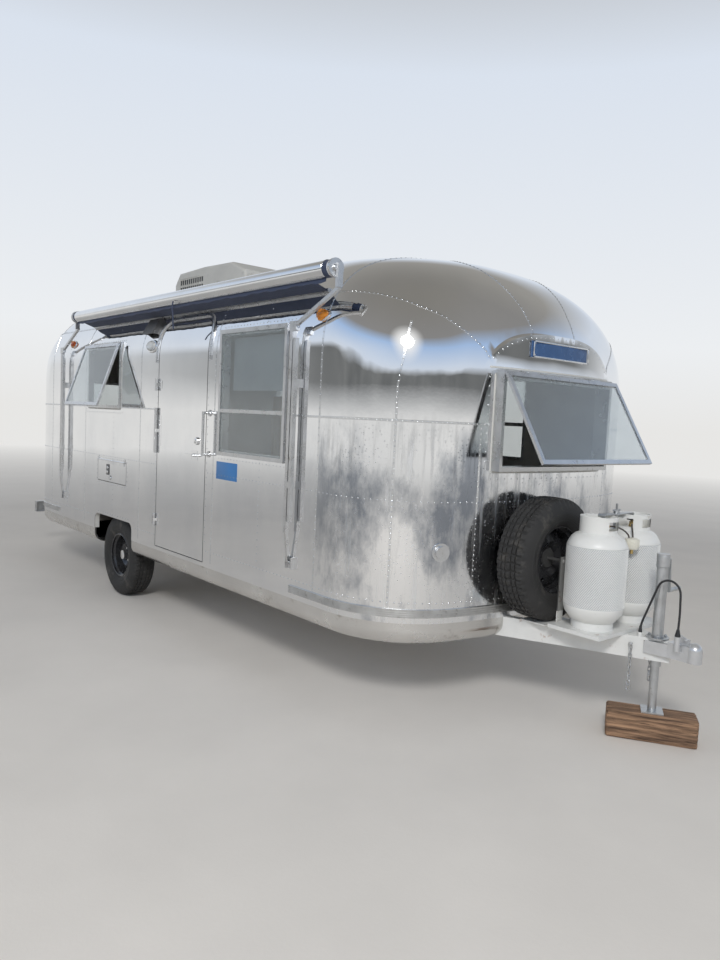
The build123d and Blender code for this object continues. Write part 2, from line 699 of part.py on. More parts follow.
# Window frames, sashes and panes
HINGE_RAIL = 28.0
PIN_R = 5.0
PIN_GAP = 0.5
frames = []
shut_sashes = []
shut_panes = []
OPEN_ANGLE = {"front": FRONT_SASH_OPEN, "curb_rear": CURB_SASH_OPEN}
for name, wall, centre, width, z0, z1, mid in WINDOWS:
    axis, sign, out, inn = wall_span(wall)
    if wall == "rear":
        lo, hi = -out, -inn
    elif wall == "right":
        lo, hi = -out, -inn
    else:
        lo, hi = inn, out
    u0 = centre - width / 2
    u1 = centre + width / 2
    outer = (u0, u1, z0, z1)
    inner = (u0 + FRAME_W, u1 - FRAME_W, z0 + FRAME_W, z1 - FRAME_W)
    frame = ring_box(outer, inner, axis, lo, hi)
    if mid:
        bar_box = (u0 + FRAME_W, u1 - FRAME_W, mid - 14, mid + 14)
        frame = frame + box(bar_box[0], bar_box[1], lo, hi, mid - 14, mid + 14)
    frames.append(frame)
    face = -out if sign < 0 else out
    gap = SASH_GAP if name in OPEN_ANGLE else 0.0
    s_lo = face + sign * gap
    s_hi = face + sign * (gap + SASH_T)
    p_lo = face + sign * (gap + 5.0)
    p_hi = face + sign * (gap + 5.0 + PANE_T)
    lap = SASH_LAP
    sash_out = (u0 - lap, u1 + lap, z0 - lap, z1 + lap)
    sash_in = (u0 - lap + SASH_W, u1 + lap - SASH_W, z0 - lap + SASH_W, z1 + lap - SASH_W)
    sash = ring_box(sash_out, sash_in, axis, min(s_lo, s_hi), max(s_lo, s_hi))
    if mid:
        sash = sash + box(sash_in[0], sash_in[1], min(s_lo, s_hi), max(s_lo, s_hi), mid - 11, mid + 11)
    rebate_box = (sash_in[0] - 6, sash_in[1] + 6, sash_in[2] - 6, sash_in[3] + 6)
    if axis == "y":
        pane_y = sorted((p_lo, p_hi))
        pane = box(rebate_box[0], rebate_box[1], *pane_y, rebate_box[2], rebate_box[3])
    else:
        pane = box(*sorted((p_lo, p_hi)), *rebate_box)
    sash = sash - pane
    if name in OPEN_ANGLE:
        hinge_u = face + sign * (gap + SASH_T / 2)
        hinge_z = z1 + lap + 6.0
        if axis == "y":
            hinge_rail = box(u0, u1, face, face - sign * 60, z1, z1 + HINGE_RAIL) - OUTER
            hinge_rail = hinge_rail.solids().sort_by(SortBy.VOLUME)[-1]
            for hx in (u0 + 0.2 * width, u1 - 0.2 * width):
                lug = box(hx - 30, hx + 30, min(s_lo, s_hi), max(s_lo, s_hi), z1 + lap, hinge_z)
                sash = sash + lug + rod((hx - 30, hinge_u, hinge_z), (hx + 30, hinge_u, hinge_z), PIN_R)
                for e0, e1 in ((hx - 50, hx - 30 - PIN_GAP), (hx + 30 + PIN_GAP, hx + 50)):
                    ear = box(e0, e1, face, hinge_u, hinge_z - PIN_R, hinge_z + PIN_R)
                    pin = rod((e0, hinge_u, hinge_z), (e1, hinge_u, hinge_z), PIN_R)
                    hinge_rail = hinge_rail + ear + pin
            pivot = Axis((0, hinge_u, hinge_z), (1, 0, 0))
            turn = -OPEN_ANGLE[name]
        else:
            hinge_rail = box(face, face - sign * 80, u0, u1, z1, z1 + HINGE_RAIL) - OUTER
            hinge_rail = hinge_rail.solids().sort_by(SortBy.VOLUME)[-1]
            for hy in (u0 + 0.2 * width, u1 - 0.2 * width):
                lug = box(min(s_lo, s_hi), max(s_lo, s_hi), hy - 30, hy + 30, z1 + lap, hinge_z)
                sash = sash + lug + rod((hinge_u, hy - 30, hinge_z), (hinge_u, hy + 30, hinge_z), PIN_R)
                for e0, e1 in ((hy - 50, hy - 30 - PIN_GAP), (hy + 30 + PIN_GAP, hy + 50)):
                    ear = box(face, hinge_u, e0, e1, hinge_z - PIN_R, hinge_z + PIN_R)
                    pin = rod((hinge_u, e0, hinge_z), (hinge_u, e1, hinge_z), PIN_R)
                    hinge_rail = hinge_rail + ear + pin
            pivot = Axis((hinge_u, 0, hinge_z), (0, 1, 0))
            turn = -OPEN_ANGLE[name]
        parts["frame_" + name] = (frames.pop() + hinge_rail).solids().sort_by(SortBy.VOLUME)[-1]
        parts["sash_" + name] = sash.rotate(pivot, turn)
        parts["pane_" + name] = pane.rotate(pivot, turn)
    else:
        shut_sashes.append(sash)
        shut_panes.append(pane)
parts["window_frames"] = Compound([f.solids()[0] for f in frames])
parts["sashes_shut"] = Compound([f.solids()[0] for f in shut_sashes])
parts["panes_shut"] = Compound([f for p in shut_panes for f in p.solids()])

def corner(z, rear=False):
    """Centre and radius of a plan corner at a height: x, half span, radius."""
    w = shell_half_width(z)
    share = min(1.0, max(0.0, (z - END_ARC_Z) / (SHOULDER_Z - END_ARC_Z)))
    rc = min(CORNER_R + CORNER_GROWTH * share, w - 25.0)
    yc = w - rc
    run = math.sqrt((BOW_R - rc) ** 2 - yc ** 2)
    ins = shell_end_inset(z)
    x = TAIL_X + ins + BOW_R - run if rear else NOSE_X - ins - BOW_R + run
    return x, yc, rc


def corner_disc(z, rear, side, deg, r, inside, outside):
    """Round boss standing square to a plan corner at an angle from the X axis."""
    x, yc, rc = corner(z, rear)
    a = math.radians(deg)
    dx = -math.cos(a) if rear else math.cos(a)
    dy = side * math.sin(a)
    p0 = (x + dx * (rc - inside), side * yc + dy * (rc - inside), z)
    p1 = (x + dx * (rc + outside), side * yc + dy * (rc + outside), z)
    return rod(p0, p1, r)


# Entrance door: hinges, lever, lock plate; on the wall the ears, gutter and grab loop
DOOR_FRONT_X = DOOR_REAR_X + DOOR_WIDTH
HINGE_Y = -(HALF_WIDTH + HINGE_OUT)
DOOR_HINGE_X = DOOR_REAR_X + DOOR_GAP / 2
LEAF_T = 4.0
DOOR_HINGES = [(760.0, 90.0), (1440.0, 340.0), (1785.0, 90.0)]
fit = []
surround = []
for z, tall in DOOR_HINGES:
    leaf_y = (-HALF_WIDTH - LEAF_T, -HALF_WIDTH)
    leaf = box(DOOR_HINGE_X + 2, DOOR_HINGE_X + 60, *leaf_y, z - tall / 3, z + tall / 3)
    link = box(DOOR_HINGE_X, DOOR_HINGE_X + 12, HINGE_Y, -HALF_WIDTH - LEAF_T + 0.5, z - 11, z + 11)
    knuckle = rod((DOOR_HINGE_X, HINGE_Y, z - 12), (DOOR_HINGE_X, HINGE_Y, z + 12), HINGE_R)
    fit.append(leaf + link + knuckle)
    wall_leaf = box(DOOR_HINGE_X - 60, DOOR_HINGE_X - 8, *leaf_y, z - tall / 2, z + tall / 2)
    for z0, z1 in ((z - tall / 2, z - 12.5), (z + 12.5, z + tall / 2)):
        ear = rod((DOOR_HINGE_X, HINGE_Y, z0), (DOOR_HINGE_X, HINGE_Y, z1), HINGE_R)
        arm = box(DOOR_HINGE_X - 14, DOOR_HINGE_X, HINGE_Y, -HALF_WIDTH - LEAF_T + 0.5, z0, z1)
        wall_leaf = wall_leaf + ear + arm
    surround.append(wall_leaf)
LEVER_Z = 1290.0
LOCK_Z = 1391.0
lever_x = DOOR_FRONT_X - 175.0
plate = box(lever_x - 24, lever_x + 62, -HALF_WIDTH - 5, -HALF_WIDTH, LEVER_Z - 32, LEVER_Z + 32)
stem = rod((lever_x + 40, -HALF_WIDTH - 4, LEVER_Z), (lever_x + 40, -HALF_WIDTH - 40, LEVER_Z), 10.0)
grip = box(lever_x - 60, lever_x + 52, -HALF_WIDTH - 46, -HALF_WIDTH - 34, LEVER_Z - 9, LEVER_Z + 9)
fit.append(plate + stem + grip)
lock = rod((lever_x + 44, -HALF_WIDTH, LOCK_Z), (lever_x + 44, -HALF_WIDTH - 14, LOCK_Z), 27.0)
fit.append(lock)
parts["door_fittings"] = Compound([f.solids()[0] for f in fit])

# Arched rain gutter over the door
GUTTER_LOW = 1950.0
GUTTER_T = 14.0
band = door_prism(-36.0) - door_prism(-20.0)
band = band & box(-BIG, 0, -BIG, 0, GUTTER_LOW, BIG)
grown = prism(END_ARC_Z - 50, END_ARC_Z, 0.0, GUTTER_T) + body_top(-GUTTER_T)
gutter = (band & grown) - OUTER
surround.append(gutter.solids()[0])
GRAB_X = DOOR_FRONT_X + 42.0
for z in (1310.0, 1590.0):
    foot = rod((GRAB_X, -HALF_WIDTH, z), (GRAB_X, -HALF_WIDTH - 8, z), 22.0)
    stand = rod((GRAB_X, -HALF_WIDTH - 4, z), (GRAB_X, -HALF_WIDTH - 52, z), 9.0)
    if z < 1400:
        grab = foot + stand
    else:
        grab = grab + foot + stand
grab = grab + rod((GRAB_X, -HALF_WIDTH - 52, 1301), (GRAB_X, -HALF_WIDTH - 52, 1599), 9.5)
surround.append(grab)
# Hatch: lid with its hinge barrel and latch, barrel ends on the wall
HATCH_AXIS_Y = -(HALF_WIDTH + 9.0)
HATCH_AXIS_Z = HATCH_Z1 - HATCH_GAP / 2
hx0 = HATCH_X0 + 40
hx1 = HATCH_X0 + HATCH_W - 40
barrel = rod((hx0, HATCH_AXIS_Y, HATCH_AXIS_Z), (hx1, HATCH_AXIS_Y, HATCH_AXIS_Z), 5.0)
flap = box(hx0, hx1, HATCH_AXIS_Y, -HALF_WIDTH, HATCH_AXIS_Z - 30, HATCH_AXIS_Z - 8)
link = box(hx0, hx1, HATCH_AXIS_Y - 2, HATCH_AXIS_Y + 3, HATCH_AXIS_Z - 20, HATCH_AXIS_Z)
latch_x = HATCH_X0 + HATCH_W * 0.45
latch_z = HATCH_Z0 + 40
latch = rod((latch_x, -HALF_WIDTH, latch_z), (latch_x, -HALF_WIDTH - 9, latch_z), 20.0)
parts["hatch_lid"] = parts["hatch_lid"] + barrel + flap + link + latch
for e0, e1 in ((hx0 - 24, hx0 - PIN_GAP), (hx1 + PIN_GAP, hx1 + 24)):
    ear = rod((e0, HATCH_AXIS_Y, HATCH_AXIS_Z), (e1, HATCH_AXIS_Y, HATCH_AXIS_Z), PIN_R)
    ear = ear + box(e0, e1, HATCH_AXIS_Y, -HALF_WIDTH - 4, HATCH_AXIS_Z + 1, HATCH_AXIS_Z + PIN_R)
    ear = ear + box(e0, e1, -HALF_WIDTH - 4.5, -HALF_WIDTH, HATCH_AXIS_Z + 3, HATCH_AXIS_Z + 28)
    surround.append(ear)
parts["door_surround"] = Compound([s.solids()[0] for s in surround])

# Awning: roller, cloth strip, wall rail, folded arms
shell_y = -shell_half_width(ROOF_SEAM_Z)
roller = rod((AWNING_REAR_X, AWNING_Y, AWNING_Z), (AWNING_FRONT_X, AWNING_Y, AWNING_Z), AWNING_R)
for x, d in ((AWNING_REAR_X, -1), (AWNING_FRONT_X, 1)):
    cap = rod((x, AWNING_Y, AWNING_Z), (x + d * 16, AWNING_Y, AWNING_Z), AWNING_R + 6)
    roller = roller + cap
parts["awning_roller"] = roller
RAIL_Z = ROOF_SEAM_Z + 12.0
rail_x0 = AWNING_REAR_X + 30
rail_x1 = AWNING_FRONT_X - 230
rail = box(rail_x0, rail_x1, shell_y - 18, shell_y + 30, RAIL_Z - 11, RAIL_Z + 11) - OUTER
parts["awning_rail"] = rail.solids().sort_by(Axis.Y)[0]
cloth_pts = [
    (shell_y - 18.3, RAIL_Z - 4),
    (shell_y - 18.3, RAIL_Z),
    (AWNING_Y + AWNING_R * 0.6 + 2, AWNING_Z - AWNING_R * 0.8),
    (AWNING_Y + AWNING_R * 0.6, AWNING_Z - AWNING_R * 0.8 - 4),
]
parts["awning_cloth"] = plate_x(cloth_pts, rail_x0, rail_x1) - roller
ARM_Y = -(HALF_WIDTH + 42.0)
ARM_W = 26.0
ARM_FOOT_Y = -(HALF_WIDTH + 26.0)
ARM_BEND_Z = 925.0
KNEE_Z = 2130.0
STAY_Z = 1760.0
CLASP_Z = 1180.0
arms = []
for x, d, end_x in ((ARM_FRONT_X, 1, AWNING_FRONT_X + 16), (ARM_REAR_X, 1, AWNING_REAR_X - 16)):
    head_x = end_x + 13 if end_x > AWNING_FRONT_X else end_x - 13
    foot = box(x - 30, x + 30, ARM_FOOT_Y, -HALF_WIDTH, ARM_FOOT_Z - 40, ARM_FOOT_Z + 30)
    foot = foot - box(x - 24, x + 24, ARM_FOOT_Y - 1, -HALF_WIDTH - 6, ARM_FOOT_Z - 41, ARM_FOOT_Z + 31)
    foot = foot + rod((x - 30, ARM_FOOT_Y + 9, ARM_FOOT_Z), (x + 30, ARM_FOOT_Y + 9, ARM_FOOT_Z), 5.0)
    leg = bar((x - 10, ARM_FOOT_Y + 9, ARM_FOOT_Z), (x - 10, ARM_Y, ARM_BEND_Z), 18.0, 20.0, (0, 1, 0))
    main = bar((x - 10, ARM_Y, ARM_BEND_Z - 6), (x - 10, ARM_Y, KNEE_Z), ARM_W, ARM_W, (0, 1, 0))
    rafter = bar((x + 20, ARM_Y, ARM_BEND_Z + 60), (x + 20, ARM_Y, KNEE_Z - 90), 20.0, ARM_W, (0, 1, 0))
    clasp = box(x - 24, x + 34, ARM_Y - 15, ARM_Y + 15, CLASP_Z, CLASP_Z + 40)
    slope = bar((x, ARM_Y, KNEE_Z - 26), (head_x, ARM_Y, AWNING_Z - 95), 20.0, 20.0, (0, 1, 0))
    head_low = (head_x, ARM_Y - 12, AWNING_Z - 103)
    head = bar(head_low, (head_x, ARM_Y - 12, AWNING_Z + 22), 22.0, 34.0, (0, 1, 0))
    knee = box(x - 34, x + 34, ARM_Y - 13, ARM_Y + 13, KNEE_Z - 50, KNEE_Z + 4)
    hub = rod((end_x, AWNING_Y, AWNING_Z), (head_x, AWNING_Y, AWNING_Z), 20.0)
    stay = box(x - 22, x + 22, ARM_Y + 12, -HALF_WIDTH, STAY_Z, STAY_Z + 50)
    arm = main + rafter + leg + foot + clasp + knee + slope + head + hub + stay
    arms.append(arm.solids()[0])
parts["awning_arms"] = Compound(arms)

# Lamps
LAMPS = [("amber", -1500.0, 2165.0), ("amber", -5320.0, 2165.0)]
amber = []
for colour, x, z in LAMPS:
    for side in (-1, 1):
        y = shell_half_width(z)
        lens = rod((x, side * (y - 60), z), (x, side * (y + 24), z), 33.0) - OUTER
        amber.append(lens.solids().sort_by(Axis.Y)[0 if side < 0 else -1])
parts["marker_lamps"] = Compound(amber)
tail = []
for side in (-1, 1):
    for z, r in ((900.0, 52.0), (1030.0, 40.0)):
        lens = corner_disc(z, True, side, 42.0, r, 60.0, 26.0) - OUTER
        tail.append(lens.solids().sort_by(Axis.X)[0])
parts["tail_lamps"] = Compound(tail)
PORCH_X = -3600.0
PORCH_Z = 2075.0
porch = Pos(PORCH_X, -HALF_WIDTH - 16, PORCH_Z) * Rot(90, 0, 0) * extrude(Ellipse(48, 66), 70, both=True)
porch = porch & box(-BIG, 0, -HALF_WIDTH - 34, -HALF_WIDTH + 60, 0, BIG)
porch = porch - OUTER
parts["porch_lamp"] = porch.solids().sort_by(Axis.Y)[0]
hood_pts = [(-1010, 2290), (-1105, 2290), (-1172, 2172), (-1060, 2172)]
hood_in = [(-1010, 2284), (-1099, 2284), (-1164, 2166), (-1060, 2166)]
hood = plate_x(hood_pts, -3745, -3575) - plate_x(hood_in, -3739, -3581) - OUTER
parts["vent_hood"] = hood.solids().sort_by(Axis.Y)[0]

# Nose: blank plate over the window and a round capped fitting
PLATE_HALF = 265.0
plate_box = box(NOSE_X - 200, NOSE_X + 60, -PLATE_HALF, PLATE_HALF, 1985, 2075)
name_plate = (prism(BROW_LOW, 2090, BROW_BACK - 6.0) - prism(BROW_LOW, 2090, BROW_BACK)) & plate_box
parts["name_plate"] = name_plate.solids().sort_by(Axis.X)[-1]
cap = corner_disc(915.0, False, -1, 22.0, 50.0, 12.0, 10.0)
cap = cap + corner_disc(915.0, False, -1, 22.0, 34.0, 12.0, 26.0)
parts["nose_cap"] = (cap - OUTER).solids().sort_by(Axis.X)[-1]

# Roof unit and roof vent
AC_TOP = ROOF_TOP + AC_H
profile = [
    (AC_X - AC_L / 2, ROOF_TOP - 60),
    (AC_X - AC_L / 2, AC_TOP - 90),
    (AC_X - AC_L / 2 + 70, AC_TOP - 12),
    (AC_X - 100, AC_TOP),
    (AC_X + AC_L / 2 - 240, AC_TOP - 14),
    (AC_X + AC_L / 2 - 30, AC_TOP - 100),
    (AC_X + AC_L / 2, AC_TOP - 170),
    (AC_X + AC_L / 2, ROOF_TOP - 60),
]
face = Face(Wire.make_polygon([Vector(x, -AC_W / 2, z) for x, z in profile]))
shroud = Solid.extrude(face, Vector(0, AC_W, 0))
slanted = shroud.edges().filter_by(Axis.X, reverse=True).filter_by(Axis.Z, reverse=True)
shroud = fillet(slanted.filter_by(Axis.Y, reverse=True), 26.0)
shroud = shroud - OUTER
louvres = []
for k in range(9):
    x = AC_X - AC_L / 2 + 90 + 42 * k
    for side in (-1, 1):
        y = side * AC_W / 2
        louvres.append(box(x, x + 20, y - 9, y + 9, AC_TOP - 190, AC_TOP - 70))
parts["roof_air_unit"] = cut_all(shroud, louvres)
VENT_X = -2300.0
vent = box(VENT_X - 190, VENT_X + 190, -190, 190, ROOF_TOP - 60, ROOF_TOP + 40) - OUTER
parts["roof_vent"] = vent.solids().sort_by(Axis.Z)[-1]
VENT_LID = 205.0
VENT_PIN_X = VENT_X - VENT_LID - 6.0
VENT_PIN_Z = ROOF_TOP + 41.0
lid = box(VENT_X - VENT_LID, VENT_X + VENT_LID, -VENT_LID, VENT_LID, VENT_PIN_Z, VENT_PIN_Z + 34)
lid = chamfer(lid.edges().group_by(Axis.Z)[-1], 24.0)
vent_base = parts["roof_vent"]
for y in (-110.0, 110.0):
    knuckle = rod((VENT_PIN_X, y - 15, VENT_PIN_Z), (VENT_PIN_X, y + 15, VENT_PIN_Z), 5.0)
    knuckle = knuckle + box(VENT_PIN_X, VENT_PIN_X + 12, y - 15, y + 15, VENT_PIN_Z, VENT_PIN_Z + 5)
    lid = lid + knuckle
    for y0 in (y - 30.5, y + 15.5):
        ear = rod((VENT_PIN_X, y0, VENT_PIN_Z), (VENT_PIN_X, y0 + 15, VENT_PIN_Z), 5.0)
        ear = ear + box(VENT_PIN_X - 5, VENT_PIN_X + 22, y0, y0 + 15, VENT_PIN_Z - 16, VENT_PIN_Z - 3)
        ear = ear + box(VENT_PIN_X - 5, VENT_PIN_X + 5, y0, y0 + 15, VENT_PIN_Z - 16, VENT_PIN_Z)
        vent_base = vent_base + ear
parts["roof_vent"] = vent_base
parts["roof_vent_lid"] = lid

# Rear bumper on two brackets, with its flat tray
BUMP_X = TAIL_X - 250.0
BUMP_Z0 = 400.0
BUMP_Z1 = 515.0
bumper = box(BUMP_X - 60, BUMP_X, -980, 980, BUMP_Z0, BUMP_Z1)
bumper = bumper - box(BUMP_X - 54, BUMP_X + 1, -974, 974, BUMP_Z0 + 6, BUMP_Z1 - 6)
bumper = bumper + box(BUMP_X - 8, TAIL_X + 120, -440, 440, BUMP_Z1 - 6, BUMP_Z1)
brackets = []
for side in (-1, 1):
    beam = box(
        BUMP_X - 56,
        CHASSIS_REAR_X,
        side * RAIL_Y - RAIL_WIDTH / 2,
        side * RAIL_Y + RAIL_WIDTH / 2,
        RAIL_BOTTOM,
        BUMP_Z1 - 6,
    )
    brackets.append(beam)
    bumper = bumper + beam
parts["rear_bumper"] = bumper
beam_half = RAIL_WIDTH / 2 + 2
bumper_cut = [
    box(BUMP_X, CHASSIS_REAR_X - 2, y - beam_half, y + beam_half, RAIL_BOTTOM - 2, BUMP_Z1 - 4)
    for y in (-RAIL_Y, RAIL_Y)
]
bumper_cut.append(box(BUMP_X, TAIL_X + 122, -442, 442, BUMP_Z1 - 8, BUMP_Z1 + 2))
parts["belly_wrap"] = cut_all(parts["belly_wrap"], bumper_cut)

# Gas cylinders, valves, hold-down and regulator
DECK_TOP = TONGUE_TOP + DECK_T
foot_h = 30.0
TANK_BASE = DECK_TOP
shoulder = TANK_BASE + TANK_SHOULDER
tank_half = [
    (0.0, TANK_BASE + 26),
    (70.0, TANK_BASE + 28),
    (TANK_R - 40, TANK_BASE + 44),
    (TANK_R - 8, TANK_BASE + 84),
    (TANK_R, TANK_BASE + 124),
    (TANK_R, shoulder - 80),
    (TANK_R - 8, shoulder - 44),
    (TANK_R - 36, shoulder - 8),
    (TANK_R - 80, shoulder + 10),
    (30.0, shoulder + 18),
    (0.0, shoulder + 18),
]
tank = revolve_xz(tank_half)
COLLAR_R = 98.0
COLLAR_TOP = TANK_BASE + 597.0
collar = Pos(0, 0, shoulder - 20) * upright(COLLAR_R, COLLAR_TOP - shoulder + 20)
collar = collar - Pos(0, 0, shoulder - 30) * upright(COLLAR_R - 5, 200)
collar = collar - box(-58, 58, 30, 200, shoulder + 22, COLLAR_TOP - 22)
collar = collar - box(30, 200, -45, 45, shoulder + 22, COLLAR_TOP - 22)
collar = collar - box(-200, -60, -70, 10, shoulder + 40, COLLAR_TOP + 10)
skirt = Pos(0, 0, TANK_BASE) * upright(108.0, 50)
skirt = skirt - Pos(0, 0, TANK_BASE - 1) * upright(103.0, 50)
tank = tank + collar + skirt
tank_curb = Pos(TANK_X, -TANK_Y, 0) * tank
parts["gas_cylinders"] = Compound([tank_curb, mirror(tank_curb, about=Plane.XZ)])
valve = Pos(0, 0, shoulder + 18) * upright(14, 34)
valve = valve + Pos(0, 0, shoulder + 52) * upright(26, 12)
valve = valve + rod((0, 0, shoulder + 36), (48, 0, shoulder + 36), 10.0)
valves = [Pos(TANK_X, s * TANK_Y, 0) * Rot(0, 0, -60.0 * s) * valve for s in (-1, 1)]
hold = rod((TANK_X, 0, DECK_TOP), (TANK_X, 0, COLLAR_TOP + 60), 6.0)
hold = hold + box(TANK_X - 22, TANK_X + 22, -TANK_Y + 20, TANK_Y - 20, COLLAR_TOP + 0.3, COLLAR_TOP + 8)
hold = hold + rod((TANK_X, 0, COLLAR_TOP + 8), (TANK_X, 0, COLLAR_TOP + 26), 16.0)
hold = hold + bar((TANK_X, -34, COLLAR_TOP + 22), (TANK_X, 34, COLLAR_TOP + 22), 8, 24)
REG_Z = TANK_BASE + 455.0
reg = box(TANK_X, TANK_X + 110, -2.5, 2.5, REG_Z - 12, REG_Z + 12)
reg = reg + rod((TANK_X + 104, 0, REG_Z - 26), (TANK_X + 104, 0, REG_Z + 26), 34.0)
gas_fittings = hold + reg
PIPE_R = 4.0
PIPE = [
    (24.0, 123.4, 36.0),
    (35.0, 104.3, 36.5),
    (47.0, 85.0, 35.0),
    (59.0, 66.0, 30.0),
    (71.0, 48.5, 21.0),
    (82.0, 34.0, 9.0),
    (91.0, 23.0, -6.0),
    (96.0, 17.0, -26.0),
]


def tube_along(points, r):
    """Round tube on straight runs joined by arcs as large as the runs allow."""
    pts = [Vector(*q) for q in points]
    radii = []
    for k in range(1, len(pts) - 1):
        before = pts[k] - pts[k - 1]
        after = pts[k + 1] - pts[k]
        turn = math.radians(before.get_angle(after))
        radii.append(0.45 * min(before.length, after.length) / math.tan(turn / 2))
    print("tube radii, least in diameters", round(min(radii) / (2 * r), 2), "least mm", round(min(radii), 1))
    path = FilletPolyline(*pts, radius=radii)
    start = Plane(origin=pts[0], z_dir=pts[1] - pts[0])
    tube = sweep(start * Circle(r), path=path)
    ratio = tube.volume / (math.pi * r * r * path.length)
    print("tube volume over section times length", round(ratio, 4), "length", round(path.length, 1))
    return tube


for s in (-1, 1):
    pipe = tube_along([(TANK_X + x, -s * y, shoulder + z) for x, y, z in PIPE], PIPE_R)
    gas_fittings = gas_fittings + pipe
for v in valves:
    gas_fittings = gas_fittings + v
parts["gas_fittings"] = gas_fittings

# Tongue jack on its foot, standing on a timber block
FOOT_Z = BLOCK_H
jack = Pos(0, 0, TONGUE_BOTTOM - 30) * upright(JACK_R - 0.3, JACK_TOP - TONGUE_BOTTOM + 30)
jack = jack + Pos(0, 0, TONGUE_TOP + 6) * upright(58, 8)
jack = jack + Pos(0, 0, JACK_TOP - 62) * upright(JACK_R + 4, 66)
jack = jack + Pos(0, 0, FOOT_Z + JACK_FOOT_T - 1) * upright(JACK_LEG_R, TONGUE_BOTTOM - FOOT_Z)
foot = Box(JACK_FOOT, JACK_FOOT, JACK_FOOT_T, align=(Align.CENTER, Align.CENTER, Align.MIN))
foot = Pos(0, 0, FOOT_Z) * Rot(0, 0, BLOCK_YAW) * foot
jack = jack + foot
crank_z = JACK_TOP - 34
jack = jack + rod((0, 0, crank_z), (0, 66, crank_z), 9.0)
jack = jack + bar((0, 62, crank_z + 10), (0, 80, crank_z - 170), 22, 8, (0, 1, 0))
jack = jack + rod((0, 78, crank_z - 162), (0, 190, crank_z - 162), 12.0)
parts["tongue_jack"] = jack
block = Rot(0, 0, BLOCK_YAW) * Box(BLOCK_L, BLOCK_W, BLOCK_H, align=(Align.CENTER, Align.CENTER, Align.MIN))
parts["timber_block"] = block

# Coupler with its ball socket
COUPLER_TOP = TONGUE_TOP + 8.0
nose_plan = [(TONGUE_APEX_X, -36), (COUPLER_X, -34), (COUPLER_X, 34), (TONGUE_APEX_X, 36)]
nose = plan_plate(nose_plan, TONGUE_TOP - 72, COUPLER_TOP)
CHEEK_X = -40.0
cheek_y = (TONGUE_APEX_X - CHEEK_X) * math.tan(HALF_ANGLE) + 9.0
cheek = plan_plate(
    [(CHEEK_X, -cheek_y), (TONGUE_APEX_X, -36), (TONGUE_APEX_X, 36), (CHEEK_X, cheek_y)],
    TONGUE_TOP - 72,
    TONGUE_TOP - 6,
)
cheek_in = plan_plate(
    [(CHEEK_X - 1, -cheek_y + 9), (TONGUE_APEX_X, 0), (CHEEK_X - 1, cheek_y - 9)],
    TONGUE_TOP - 80,
    TONGUE_TOP,
)
nose = nose + (cheek - cheek_in)
dome = Pos(COUPLER_X, 0, TONGUE_TOP - 72) * upright(38, 62)
dome = dome + Pos(COUPLER_X, 0, TONGUE_TOP - 10) * (Sphere(38) & box(-60, 60, -60, 60, 0, 60))
coupler = nose + dome
arm_wedge = arm_right + arm_left + gusset + gusset_low
coupler = coupler - arm_wedge - jack_hole
SOCKET_DEPTH = 42.0
bore = Pos(COUPLER_X, 0, TONGUE_TOP - 73) * upright(BALL_BORE_R, SOCKET_DEPTH + 1)
hollow = box(95, COUPLER_X - 32, -28, 28, TONGUE_TOP - 73, TONGUE_TOP - 40)
coupler = coupler - bore - hollow
latch = box(118, 172, -7, 7, COUPLER_TOP - 1, COUPLER_TOP + 30)
latch = latch + rod((150, -16, COUPLER_TOP + 22), (150, 16, COUPLER_TOP + 22), 6.0)
latch = latch + bar((150, 0, COUPLER_TOP + 24), (96, 0, COUPLER_TOP + 46), 18, 7, (0, 1, 0))
coupler = coupler + latch
parts["coupler"] = coupler.solids().sort_by(SortBy.VOLUME)[-1]

# Safety chains hanging from the tongue, links turned by quarters
LINK_L = 36.0
LINK_W = 22.0
LINK_T = 6.0
LINK_GAP = 0.3
CHAINS = [(-95.0, -1, 8), (-70.0, 1, 7)]
HOOK_L = 64.0
HOOK_W = 30.0
HOOK_T = 7.0


def link_solid(length=LINK_L, width=LINK_W, thick=LINK_T):
    """One chain link standing along Z, flat in the Y, Z plane."""
    ring = extrude(SlotOverall(length, width), thick / 2, both=True)
    ring = ring - extrude(SlotOverall(length - 2 * thick, width - 2 * thick), thick, both=True)
    return Rot(0, 90, 0) * ring


links = []
for cx, side, count in CHAINS:
    y = side * ((TONGUE_APEX_X - cx) * math.tan(HALF_ANGLE) + 12.0)
    top = TONGUE_BOTTOM + 75.0
    eye = rod((cx, y - side * 12, top), (cx, y + side * 12, top), 5.0)
    eye_head = rod((cx, y + side * 9, top), (cx, y + side * 12, top), 10.0)
    pitch = LINK_L - 2 * LINK_T - LINK_GAP
    z = top - 5.0 - LINK_GAP - (LINK_L / 2 - LINK_T)
    links.append(eye + eye_head - arm_wedge)
    for k in range(count):
        turn = 0 if k % 2 else 90
        links.append(Pos(cx, y, z - k * pitch) * Rot(0, 0, turn) * link_solid())
    last = z - (count - 1) * pitch
    hook_z = last - LINK_L / 2 + LINK_T + LINK_GAP + HOOK_T - HOOK_L / 2
    turn = 0 if count % 2 else 90
    links.append(Pos(cx, y, hook_z) * Rot(0, 0, turn) * link_solid(HOOK_L, HOOK_W, HOOK_T))
parts["safety_chains"] = Compound([s for item in links for s in item.solids()])

